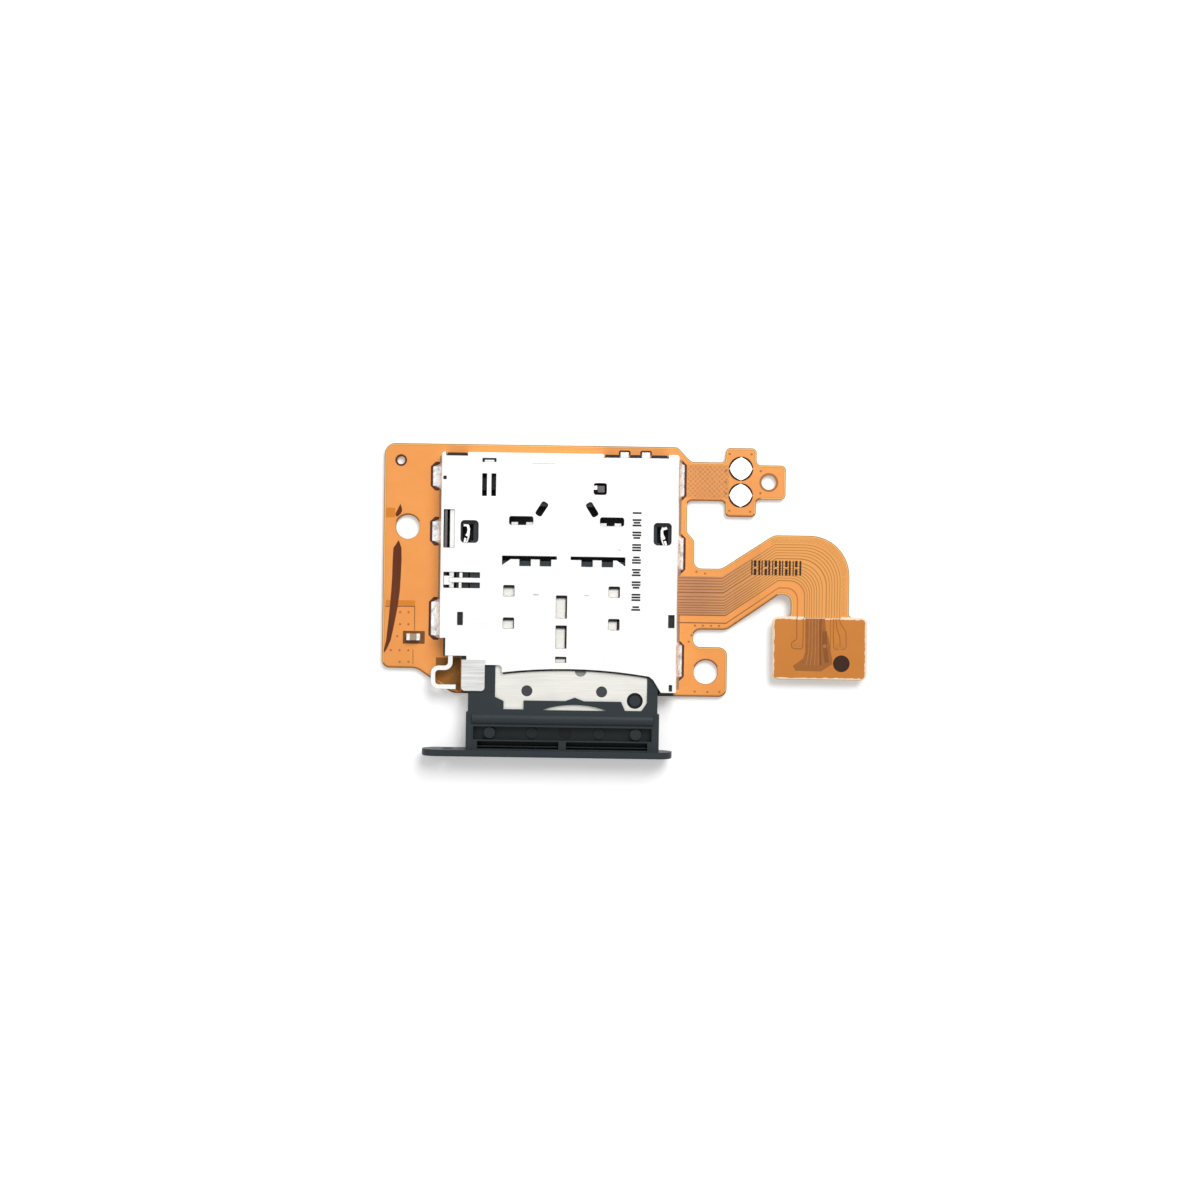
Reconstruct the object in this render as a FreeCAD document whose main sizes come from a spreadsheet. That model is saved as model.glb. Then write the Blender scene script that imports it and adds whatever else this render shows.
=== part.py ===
"""SIM card reader on a flexible circuit, with its card tray and pin-operated ejector.

Millimetres. +X runs to the right along the flex, +Y to the rear of the reader (the tray slides out
towards -Y) and +Z up. The origin is the middle of the shield shell, on the underside of the stiffener.
"""

import FreeCAD, Part
import Sketcher
import math
import os
from types import SimpleNamespace

SIZES = {
    # Layers of the stack, from the underside upwards
    "stiffener_thickness": 0.20,
    "flex_thickness": 0.18,
    "base_thickness": 0.30,
    "tray_running_gap": 0.19,
    "card_depth": 0.67,
    "plate_thickness": 0.15,
    "tray_skin": 0.08,
    "roof_gap": 0.06,
    "sheet_thickness": 0.15,
    # Main panel of the flex circuit
    "wing_width": 4.39,
    "panel_margin": 0.68,
    "panel_rear": 9.55,
    "panel_front": 9.10,
    "wing_step": 1.83,
    "wing_slope_inset": 0.91,
    "wing_slope_run": 2.70,
    "panel_round": 0.60,
    "panel_rear_round": 0.80,
    "slope_round": 1.20,
    "rear_chamfer_inset": 0.79,
    "rear_chamfer_reach": 0.26,
    # Ear with the right screw hole, and the notch behind it
    "ear_reach": 3.14,
    "ear_depth": 3.71,
    "notch_web": 0.59,
    "notch_width": 1.31,
    "notch_round": 0.55,
    # Ribbon from the panel to the connector tab
    "ribbon_root_width": 4.58,
    "shoulder_step": 0.57,
    "shoulder_depth": 2.08,
    "shoulder_ramp": 0.62,
    "shoulder_round": 0.40,
    "ribbon_front_lead": 3.09,
    "ribbon_rear_lead": 2.64,
    "ribbon_run": 3.82,
    "ribbon_front_rise": 2.72,
    "ribbon_rear_rise": 2.55,
    "ribbon_crest": 0.90,
    "ribbon_width": 4.32,
    "ribbon_bend_round": 1.00,
    "ribbon_inner_round": 0.60,
    "ribbon_outer_round": 3.00,
    "ramp_start_lead": 3.60,
    "ramp_run": 1.90,
    # Connector tab
    "tab_overhang": 1.39,
    "tab_drop": 1.64,
    "tab_depth": 4.73,
    "tab_round": 0.50,
    "tab_root_round": 0.30,
    "film_thickness": 0.12,
    "film_inset": 0.10,
    # Grounding tab
    "neck_drop": 1.09,
    "neck_width": 2.90,
    "neck_length": 2.83,
    "head_width": 2.31,
    "head_drop": 1.16,
    "nose_length": 2.20,
    "nose_width": 2.56,
    "head_round": 0.35,
    "land_diameter": 1.68,
    "land_pitch": 1.99,
    "land_thickness": 0.03,
    "nose_hole_diameter": 1.10,
    "nose_hole_inset": 0.94,
    # Holes of the panel
    "screw_hole_diameter": 1.80,
    "wing_hole_inset": 1.80,
    "wing_hole_rear": 3.30,
    "ear_hole_inset": 1.58,
    "ear_hole_front": 1.84,
    "locating_hole_diameter": 0.60,
    "locating_hole_inset": 1.23,
    "locating_hole_drop": 1.27,
    # Board connector under the tab
    "connector_height": 0.75,
    "connector_length": 5.60,
    "connector_width": 2.30,
    "connector_wall": 0.40,
    "connector_floor": 0.25,
    "connector_island_length": 4.00,
    "connector_island_width": 0.50,
    "connector_pitch": 0.40,
    "connector_row_count": 10,
    "connector_contact_width": 0.16,
    "connector_contact_thickness": 0.10,
    "connector_tail": 0.35,
    "connector_contact_lift": 0.18,
    "nail_length": 0.40,
    "nail_width": 1.40,
    # Shield shell
    "shell_side_room": 1.38,
    "shell_rear": 8.85,
    "shell_front": 8.78,
    "shell_bend": 0.22,
    "shell_step": 0.46,
    "shell_step_front": 4.94,
    "shell_left_front": 6.25,
    "relief_width": 0.26,
    "relief_reach": 0.36,
    "tongue_inset": 1.68,
    "tongue_width": 1.76,
    "tongue_front": 8.84,
    "front_notch_width": 1.23,
    "front_notch_rear": 6.90,
    "front_arc_left": 7.44,
    "front_arc_right_inset": 2.04,
    "front_arc_right": 7.60,
    "front_arc_radius": 38.0,
    "leg_corner_start_inset": 1.73,
    "leg_corner_end_inset": 1.16,
    "leg_corner_rear": 7.85,
    "edge_round": 0.28,
    "rear_notch_left_inset": 0.35,
    "rear_notch_left_width": 1.60,
    "rear_notch_detect_side": 1.55,
    "rear_notch_right_width": 4.80,
    "rear_notch_depth": 0.28,
    # Windows of the shell
    "window_round": 0.09,
    "slot_round": 0.16,
    "probe_window": 0.82,
    "probe_pitch": 7.79,
    "probe_row": 1.38,
    "probe_row_pitch": 2.40,
    "centre_column": 0.22,
    "centre_slot_width": 0.80,
    "centre_slot_length": 1.68,
    "centre_slot_rear": 2.53,
    "centre_slot_pitch": 2.22,
    "centre_end_slot": 6.43,
    "centre_end_length": 0.42,
    "middle_slot_axis": 0.335,
    "middle_slot_offset": 2.535,
    "middle_slot_length": 4.03,
    "middle_slot_rear": 1.20,
    "middle_slot_bar": 0.23,
    "middle_end_depth": 0.66,
    "middle_end_run": 0.62,
    "middle_tongue_width": 0.82,
    "middle_tongue_depth": 0.50,
    "middle_tongue_left": 2.52,
    "middle_tongue_right": 2.06,
    "middle_tongue_pitch": 1.51,
    "tip_slot_axis": 0.51,
    "tip_slot_offset": 3.36,
    "tip_slot_row": 3.82,
    "tip_slot_length": 1.77,
    "tip_slot_width": 0.63,
    "slant_axis": 0.52,
    "slant_offset": 1.86,
    "slant_row": 4.70,
    "slant_run": 0.60,
    "slant_rise": 0.95,
    "slant_side_run": 0.43,
    "slant_side_rise": 0.272,
    "lever_window_line": 2.96,
    "lever_window_row": 6.24,
    "lever_window_length": 0.95,
    "lever_window_width": 0.85,
    "latch_window_shift": 0.065,
    "latch_window_reach": 0.125,
    "latch_row": 2.96,
    "latch_window_length": 1.65,
    "latch_window_width": 1.31,
    "latch_window_round": 0.28,
    "rod_window_shift": 0.2,
    "rod_window_row": 3.16,
    "rod_window_length": 2.82,
    "rod_window_width": 0.80,
    "rear_finger_line": 5.26,
    "rear_finger_pitch": 0.68,
    "rear_finger_row": 6.44,
    "rear_finger_length": 1.65,
    "rear_finger_slit": 0.33,
    "rear_finger_end": 8.27,
    "rear_finger_end_slit": 0.26,
    "side_finger_inset": 0.28,
    "side_finger_length": 2.68,
    "side_finger_row": 0.64,
    "side_finger_width": 0.36,
    "side_finger_slit": 0.40,
    "small_slot_inset": 1.54,
    "small_slot_row": 3.49,
    "small_slot_width": 0.40,
    "small_slot_length": 0.95,
    "right_slot_inset": 0.45,
    "right_slot_width": 0.45,
    "leg_slot_row": 8.42,
    "leg_slot_length": 0.46,
    "leg_slot_width": 0.22,
    # Solder along the sides of the shell
    "solder_height": 0.55,
    "solder_left_reach": 0.78,
    "solder_right_reach": 0.46,
    "solder_corner": 0.24,
    "solder_left_length": 1.90,
    "solder_left_front_length": 2.95,
    "solder_right_length": 2.80,
    "solder_left_rear_row": 7.12,
    "solder_left_middle_row": 3.00,
    "solder_left_front_row": 3.53,
    "solder_right_rear_row": 7.05,
    "solder_right_middle_row": 1.57,
    "solder_right_front_row": 6.44,
    # Chip capacitor on the wing
    "capacitor_gap": 2.02,
    "capacitor_row": 4.93,
    "capacitor_length": 1.00,
    "capacitor_width": 0.50,
    "capacitor_terminal": 0.25,
    "capacitor_round": 0.05,
    # Insulator base
    "base_fit": 0.08,
    "base_front": 8.95,
    "base_left_front": 6.30,
    "base_outer_wall_front": 4.60,
    "base_rear_wall": 0.32,
    "base_guide_rear": 5.20,
    "base_side_wall": 0.38,
    "wall_roof_gap": 0.05,
    "latch_pocket_depth": 0.50,
    "latch_pocket_length": 2.20,
    "rear_lip_side_gap": 0.10,
    "rear_lip_inset": 0.05,
    # Card contacts
    "contact_thickness": 0.12,
    "contact_tray_gap": 0.04,
    "contact_tip_drop": 0.14,
    "contact_slack": 0.15,
    "rear_window_slack": 0.05,
    "sim_axis": 0.21,
    "sim_column_pitch": 7.62,
    "sim_row": 1.30,
    "sim_row_pitch": 2.54,
    "sim_row_count": 3,
    "sim_contact_width": 0.70,
    "sim_foot_back": 0.95,
    "sim_foot_length": 0.60,
    "sim_crown_lead": 0.50,
    "sim_tip_lead": 0.90,
    "rear_contact_axis": 0.47,
    "rear_contact_pitch": 1.10,
    "rear_contact_count": 8,
    "rear_contact_width": 0.50,
    "rear_foot_start": 1.62,
    "rear_foot_length": 0.60,
    "rear_crown": 3.28,
    "rear_tip": 3.76,
    "rear_tip_drop": 0.02,
    # Tray detect switch
    "detect_strip": 0.12,
    "detect_tail_width": 0.60,
    "detect_pitch": 1.6,
    "detect_inset": 2.46,
    "detect_post_row": 7.90,
    "detect_tail_reach": 0.25,
    "detect_notch_side": 0.08,
    "detect_arm_bottom": 0.45,
    "detect_top": 0.95,
    "detect_arm_reach": 2.10,
    "detect_tray_gap": 0.15,
    # Leaf springs that hold the tray
    "latch_strip": 0.12,
    "latch_rise": 0.38,
    "latch_height": 0.92,
    "latch_tray_gap": 0.05,
    # Push rod, a strip on edge
    "rod_inset": 0.835,
    "rod_strip": 0.35,
    "rod_side_gap": 0.18,
    "rod_floor_gap": 0.10,
    "rod_height": 0.72,
    "rod_lever_gap": 0.10,
    "hook_lateral_row": 7.17,
    "hook_outer_reach": 1.275,
    "hook_front_row": 8.57,
    "hook_end_reach": 0.425,
    "hook_inner_round": 0.25,
    # Eject lever and its rivet
    "pivot_line": 3.10,
    "pivot_row": 6.90,
    "pivot_radius": 0.40,
    "pivot_clearance": 0.05,
    "pivot_boss_radius": 0.80,
    "pivot_head_radius": 0.72,
    "pivot_head_height": 0.14,
    "lever_lift": 0.30,
    "lever_gap": 0.04,
    "lever_strip": 0.25,
    "lever_hub_radius": 0.85,
    "lever_waist": 1.20,
    "lever_nose_round": 0.28,
    "lever_nose_inset": 0.025,
    "lever_left_nose": 0.30,
    "lever_right_arm": 6.00,
    "lever_right_nose": 0.40,
    "lever_rest_angle": 8.40,
    # Tray moulding
    "tray_axis": 0.415,
    "tray_width": 14.03,
    "tray_side_gap": 0.10,
    "tray_rear": 5.35,
    "tray_rear_bar": 0.45,
    "tray_rear_round": 0.50,
    "sim_rail": 0.815,
    "sim_pocket_length": 8.90,
    "sim_pocket_rear": 0.40,
    "sim_corner_cut": 1.65,
    "wide_left_rail": 0.655,
    "wide_right_rail": 2.275,
    "wide_pocket_length": 15.05,
    "tray_cross_bar": 0.45,
    "tray_notch_depth": 0.22,
    "tray_notch_length": 1.30,
    "block_overhang": 0.135,
    "block_front": 13.16,
    "block_wide_rear": 10.40,
    "block_rear": 8.94,
    "block_underside": 0.50,
    "block_lip": 0.10,
    "rib_row": 10.87,
    "rib_half_width": 0.42,
    "rib_height": 0.22,
    "rib_end_gap": 0.45,
    "recess_rear": 11.45,
    "recess_front": 12.42,
    "recess_end_gap": 0.55,
    "recess_depth": 0.60,
    "mark_diameter": 0.84,
    "mark_height": 0.10,
    "pin_height": 0.40,
    "mark_row": 11.92,
    "mark_left": 1.86,
    "mark_right": 3.13,
    "pin_left_gap": 1.195,
    "pin_right_gap": 1.175,
    "gate_diameter": 0.90,
    "gate_line": 0.62,
    "gate_depth": 0.10,
    "relief_slot_row": 12.81,
    "relief_slot_width": 0.56,
    "relief_slot_end_gap": 0.85,
    "relief_slot_web": 0.56,
    "relief_slot_depth": 1.10,
    "slot_rib_row": 12.93,
    "slot_rib_width": 0.09,
    "slot_rib_height": 0.75,
    # Door of the tray
    "door_axis": 0.725,
    "door_overhang": 2.26,
    "door_thickness": 0.50,
    "door_underside": 0.05,
    "door_height": 2.40,
    "door_corner": 1.05,
    "door_edge_round": 0.12,
    "pin_hole_diameter": 0.90,
    "pin_hole_shift": 0.145,
    # Steel plate of the tray and the opening that shows it
    "plate_side_grip": 0.40,
    "plate_front": 10.32,
    "opening_left_inset": 1.99,
    "opening_right_inset": 0.78,
    "opening_shoulder": 9.55,
    "opening_front": 9.49,
    "opening_peak": 9.23,
    "opening_peak_half": 0.70,
    "opening_notch_front": 10.15,
    "opening_notch_flare": 0.30,
    "left_notch_outer_inset": 0.64,
    "left_notch_inner_inset": 2.13,
    "right_notch_inner_inset": 1.62,
    "right_notch_outer_inset": 0.41,
    "lens_axis": 1.29,
    "lens_length": 4.92,
    "lens_front": 10.18,
    "lens_height": 0.42,
    "plate_hole_diameter": 0.82,
    "plate_hole_row": 8.78,
    "plate_hole_left": 2.26,
    "plate_hole_right": 3.28,
    "plate_large_hole_diameter": 1.19,
    "plate_large_hole_inset": 0.9,
    "plate_large_hole_row": 9.41,
    "dimple_diameter": 0.86,
    "dimple_line": 1.70,
    "dimple_row": 7.26,
    "dimple_depth": 0.05,
}

doc = FreeCAD.newDocument("sim_card_reader")
sheet = doc.addObject("Spreadsheet::Sheet", "Sizes")
pieces = []


class Size:
    """A size with its present number and the sheet expression that it follows."""

    def __init__(self, value, text):
        self.value = value
        self.text = text

    def _join(self, other, sign, value):
        return Size(value, f"({self.text} {sign} {as_size(other).text})")

    def __add__(self, other):
        return self._join(other, "+", self.value + as_size(other).value)

    def __sub__(self, other):
        return self._join(other, "-", self.value - as_size(other).value)

    def __mul__(self, other):
        return self._join(other, "*", self.value * as_size(other).value)

    def __truediv__(self, other):
        return self._join(other, "/", self.value / as_size(other).value)

    def __neg__(self):
        return Size(-self.value, f"(0 - {self.text})")


def as_size(number):
    """A plain number as a Size; a Size comes back as it is."""
    if isinstance(number, Size):
        return number
    return Size(number, f"({number})")


def fill_sheet():
    """Writes every driving size to the sheet and returns them by name."""
    named = {}
    for row, (name, value) in enumerate(SIZES.items(), start=1):
        sheet.set(f"A{row}", name)
        sheet.set(f"B{row}", str(value))
        sheet.setAlias(f"B{row}", name)
        named[name] = Size(value, f"Sizes.{name}")
    doc.recompute()
    return SimpleNamespace(**named)


d = fill_sheet()
ZERO = as_size(0)

# Heights of the faces that the pieces share
flex_bottom = d.stiffener_thickness
flex_top = flex_bottom + d.flex_thickness
base_top = flex_top + d.base_thickness
tray_bottom = base_top + d.tray_running_gap
plate_bottom = tray_bottom + d.card_depth
plate_top = plate_bottom + d.plate_thickness
tray_top = plate_top + d.tray_skin
roof = tray_top + d.roof_gap
shell_top = roof + d.sheet_thickness
tab_bottom = d.connector_height
tab_top = tab_bottom + d.flex_thickness

# Lines that follow the tray's width outwards to the shell and the panel
tray_left = d.tray_axis - d.tray_width / 2
tray_right = d.tray_axis + d.tray_width / 2
shell_half = tray_right + d.shell_side_room
panel_left = shell_half + d.wing_width
panel_right = shell_half + d.panel_margin
wing_slope_end = shell_half - d.wing_slope_inset
rod_line = shell_half - d.rod_inset
rod_window_line = rod_line + d.rod_window_shift
hook_outer_line = rod_line + d.hook_outer_reach
hook_end_line = rod_line - d.hook_end_reach
pin_hole_line = rod_line + d.pin_hole_shift
lever_left_arm = rod_line - d.pivot_line - d.lever_nose_inset
tongue_left = shell_half - d.tongue_inset
relief_end = tongue_left - d.relief_reach
front_arc_right_end = shell_half - d.front_arc_right_inset
leg_corner_start = shell_half - d.leg_corner_start_inset
leg_corner_end = shell_half - d.leg_corner_end_inset
detect_contact_line = shell_half - d.detect_inset
detect_spring_line = detect_contact_line - d.detect_pitch
rear_notch_left = shell_half - d.rear_notch_left_inset
rear_notch_right = detect_spring_line - d.rear_notch_detect_side
side_finger_inner = shell_half - d.side_finger_inset - d.side_finger_length
small_slot_line = shell_half - d.small_slot_inset
right_slot_line = shell_half - d.right_slot_inset
latch_window_axis = d.tray_axis + d.latch_window_shift
latch_window_offset = d.tray_width / 2 + d.latch_window_reach
capacitor_line = shell_half + d.capacitor_gap

# Lines of the tray's plate opening and front block
opening_left = -(tray_left + d.opening_left_inset)
opening_right = tray_right - d.opening_right_inset
left_notch_outer = opening_left - d.left_notch_outer_inset
left_notch_inner = opening_left - d.left_notch_inner_inset
right_notch_inner = opening_right - d.right_notch_inner_inset
right_notch_outer = opening_right - d.right_notch_outer_inset
plate_large_hole_line = opening_right - d.plate_large_hole_inset
block_width = d.tray_width + d.block_overhang * 2
rib_length = block_width - d.rib_end_gap * 2
recess_length = block_width - d.recess_end_gap * 2
relief_slot_length = (block_width - d.relief_slot_web) / 2 - d.relief_slot_end_gap

# Lines of the flex outline
wing_front = -(d.panel_front - d.wing_step)
ear_right = panel_right + d.ear_reach
ear_rear = d.ear_depth - d.panel_front
notch_left = panel_right + d.notch_web
ribbon_front = ear_rear + d.notch_width
ribbon_rear = ribbon_front + d.ribbon_root_width
shoulder_right = panel_right + d.shoulder_step
shoulder_rear = ribbon_rear + d.shoulder_depth
front_bend = panel_right + d.ribbon_front_lead
rear_bend = panel_right + d.ribbon_rear_lead
crest_front = ribbon_front + d.ribbon_front_rise
crest_rear = ribbon_rear + d.ribbon_rear_rise
ribbon_inner = front_bend + d.ribbon_run + d.ribbon_crest
ribbon_outer = ribbon_inner + d.ribbon_width
tab_left = ribbon_inner - d.tab_overhang
tab_right = ribbon_outer + d.tab_overhang
tab_rear = crest_front - d.tab_drop
tab_front = tab_rear - d.tab_depth
tab_middle = ((tab_left + tab_right) / 2, (tab_rear + tab_front) / 2)
neck_rear = d.panel_rear - d.neck_drop
neck_front = neck_rear - d.neck_width
neck_middle = (neck_rear + neck_front) / 2
head_left = panel_right + d.neck_length
head_right = head_left + d.head_width
head_front = neck_front - d.head_drop
nose_right = head_right + d.nose_length
nose_front = neck_middle - d.nose_width / 2
nose_rear = neck_middle + d.nose_width / 2

# Places of the holes that go through flex and stiffener
wing_hole = (d.wing_hole_inset - panel_left, d.wing_hole_rear)
ear_hole = (ear_right - d.ear_hole_inset, d.ear_hole_front - d.panel_front)
locating_hole = (d.locating_hole_inset - panel_left, d.panel_rear - d.locating_hole_drop)
nose_hole = (head_right + d.nose_hole_inset, neck_middle)

# Inner lines of shell, base, rod channel and tray
shell_inner = shell_half - d.sheet_thickness
shell_inner_rear = d.shell_rear - d.sheet_thickness
base_half = shell_inner - d.base_fit
base_rear = shell_inner_rear - d.base_fit
rod_half = d.rod_strip / 2
channel_outer = -(rod_line + rod_half + d.rod_side_gap)
channel_inner = -(rod_line - rod_half - d.rod_side_gap)
guide_left = tray_left - d.tray_side_gap
guide_right = tray_right + d.tray_side_gap
wall_top = roof - d.wall_roof_gap
base_rear_inner = base_rear - d.base_rear_wall
contact_crown = tray_bottom - d.contact_tray_gap
lever_seat = base_top + d.lever_lift
lever_bottom = lever_seat + d.lever_gap
lever_top = lever_bottom + d.lever_strip
block_top = tray_top + d.block_lip


def new_body(label, kept=True):
    """A body; a kept one is a piece of the reader and is written out."""
    body = doc.addObject("PartDesign::Body", label)
    body.Label = label
    if kept:
        pieces.append(body)
    return body


def new_sketch(body, name, plane="XY_Plane", lift=ZERO):
    """A sketch on one of the body's own origin planes, moved along its normal by lift."""
    sketch = body.newObject("Sketcher::SketchObject", f"{body.Label}_{name}")
    support = next(f for f in body.Origin.OriginFeatures if f.Role == plane)
    sketch.AttachmentSupport = [(support, "")]
    sketch.MapMode = "FlatFace"
    sketch.setExpression("AttachmentOffset.Base.z", lift.text)
    return sketch


def hold(sketch, index, size):
    """Binds one constraint of a sketch to its size."""
    sketch.setExpression(f"Constraints[{index}]", size.text)


def hold_point(sketch, edge, end, place):
    """Holds an edge's end point at a place measured from the sketch's origin."""
    for kind, size in zip(("DistanceX", "DistanceY"), place):
        constraint = Sketcher.Constraint(kind, -1, 1, edge, end, size.value)
        hold(sketch, sketch.addConstraint(constraint), size)


def arc_between(start, finish, radius):
    """The shorter arc from start to finish; a negative radius turns to the right."""
    middle = (start + finish) / 2
    half = (finish - start) / 2
    rise = math.sqrt(radius**2 - half.Length**2)
    across = FreeCAD.Vector(-half.y, half.x, 0).normalize() * math.copysign(rise, radius)
    centre = middle + across
    first, last = (start, finish) if radius > 0 else (finish, start)
    begin = math.atan2(first.y - centre.y, first.x - centre.x)
    end = math.atan2(last.y - centre.y, last.x - centre.x)
    circle = Part.Circle(centre, FreeCAD.Vector(0, 0, 1), abs(radius))
    return Part.ArcOfCircle(circle, begin, end if end > begin else end + 2 * math.pi)


def draw(sketch, corners, arcs=None):
    """A closed outline through corners, with the edges listed in arcs bent to a signed radius."""
    arcs = arcs or {}
    ends = []
    for index, start in enumerate(corners):
        finish = corners[(index + 1) % len(corners)]
        first, last = (FreeCAD.Vector(x.value, y.value, 0) for x, y in (start, finish))
        if index not in arcs:
            ends.append((sketch.addGeometry(Part.LineSegment(first, last), False), 1, 2))
            continue
        edge = sketch.addGeometry(arc_between(first, last, arcs[index].value), False)
        ends.append((edge, 1, 2) if arcs[index].value > 0 else (edge, 2, 1))
    for index, (edge, _, last) in enumerate(ends):
        following, first, _ = ends[(index + 1) % len(ends)]
        sketch.addConstraint(Sketcher.Constraint("Coincident", edge, last, following, first))
    for (edge, first, _), corner in zip(ends, corners):
        hold_point(sketch, edge, first, corner)
    for index, radius in arcs.items():
        size = radius if radius.value > 0 else -radius
        constraint = Sketcher.Constraint("Radius", ends[index][0], size.value)
        hold(sketch, sketch.addConstraint(constraint), size)


def box_corners(left, front, right, rear):
    """The four corners of an upright rectangle."""
    return [(left, front), (right, front), (right, rear), (left, rear)]


def draw_box(sketch, middle, width, length):
    """A rectangle about its middle; returns its corners."""
    x, y = middle
    corners = box_corners(x - width / 2, y - length / 2, x + width / 2, y + length / 2)
    draw(sketch, corners)
    return corners


def draw_circle(sketch, middle, diameter):
    """A circle about a held middle, or about the sketch's origin where no middle is given."""
    x, y = middle or (ZERO, ZERO)
    circle = Part.Circle(FreeCAD.Vector(x.value, y.value, 0), FreeCAD.Vector(0, 0, 1), diameter.value / 2)
    edge = sketch.addGeometry(circle, False)
    if middle:
        hold_point(sketch, edge, 3, middle)
    else:
        sketch.addConstraint(Sketcher.Constraint("Coincident", edge, 3, -1, 1))
    constraint = Sketcher.Constraint("Diameter", edge, diameter.value)
    hold(sketch, sketch.addConstraint(constraint), diameter)


def pad(body, sketch, length):
    """Adds the sketch's outline, raised along its normal."""
    feature = body.newObject("PartDesign::Pad", f"{sketch.Name}_pad")
    feature.Profile = sketch
    feature.setExpression("Length", length.text)
    doc.recompute()
    return feature


def pocket(body, sketch, length):
    """Cuts the sketch's outline along its normal and makes sure that material went."""
    before = body.Shape.Volume
    feature = body.newObject("PartDesign::Pocket", f"{sketch.Name}_cut")
    feature.Profile = sketch
    feature.setExpression("Length", length.text)
    feature.Reversed = True
    doc.recompute()
    if body.Shape.Volume >= before:
        raise RuntimeError(f"{feature.Name} cuts nothing")
    return feature


def pad_box(body, name, corners, bottom, top):
    """Adds an upright prism with the given plan corners between two heights."""
    sketch = new_sketch(body, name, lift=bottom)
    draw(sketch, corners)
    return pad(body, sketch, top - bottom)


def cut_box(body, name, corners, bottom, top):
    """Cuts an upright prism with the given plan corners between two heights."""
    sketch = new_sketch(body, name, lift=bottom)
    draw(sketch, corners)
    return pocket(body, sketch, top - bottom)


def cut_round(body, name, places, diameter, bottom, top):
    """Cuts upright round holes at the given places."""
    sketch = new_sketch(body, name, lift=bottom)
    for place in places:
        draw_circle(sketch, place, diameter)
    return pocket(body, sketch, top - bottom)


def upright_edges(shape, corners):
    """Names of the upright edges that stand on the given plan corners."""
    names = []
    for index, edge in enumerate(shape.Edges, start=1):
        low, high = edge.Vertexes[0].Point, edge.Vertexes[-1].Point
        if math.dist(low[:2], high[:2]) > 1e-6 or abs(low.z - high.z) < 1e-6:
            continue
        if any(math.dist(low[:2], (x.value, y.value)) < 1e-5 for x, y in corners):
            names.append(f"Edge{index}")
    return names


def round_edges(body, name, edges, radius):
    """Rounds the named edges of the body's last feature."""
    base = body.Tip
    feature = body.newObject("PartDesign::Fillet", f"{body.Label}_{name}")
    feature.Base = (base, edges)
    feature.setExpression("Radius", radius.text)
    doc.recompute()
    return feature


def round_corners(body, name, corners, radius):
    """Rounds the upright edges on the given plan corners."""
    return round_edges(body, name, upright_edges(body.Tip.Shape, corners), radius)


def plate_piece(label, corners, bottom, top, radius):
    """A flat piece with rounded plan corners."""
    body = new_body(label)
    pad_box(body, "plan", corners, bottom, top)
    round_corners(body, "round", corners, radius)
    return body


def panel_corners():
    """Corners of the wing and front edge, shared by the flex and its stiffener."""
    slope_start = -(wing_slope_end + d.wing_slope_run)
    return SimpleNamespace(
        wing=(-panel_left, wing_front),
        slope_top=(slope_start, wing_front),
        slope_foot=(-wing_slope_end, -d.panel_front),
        ear_front=(ear_right, -d.panel_front),
        ear_rear=(ear_right, ear_rear),
        chamfer_foot=(panel_right + d.rear_chamfer_reach, neck_rear),
        chamfer_top=(panel_right - d.rear_chamfer_inset, d.panel_rear),
        rear_left=(-panel_left, d.panel_rear),
    )


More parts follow.
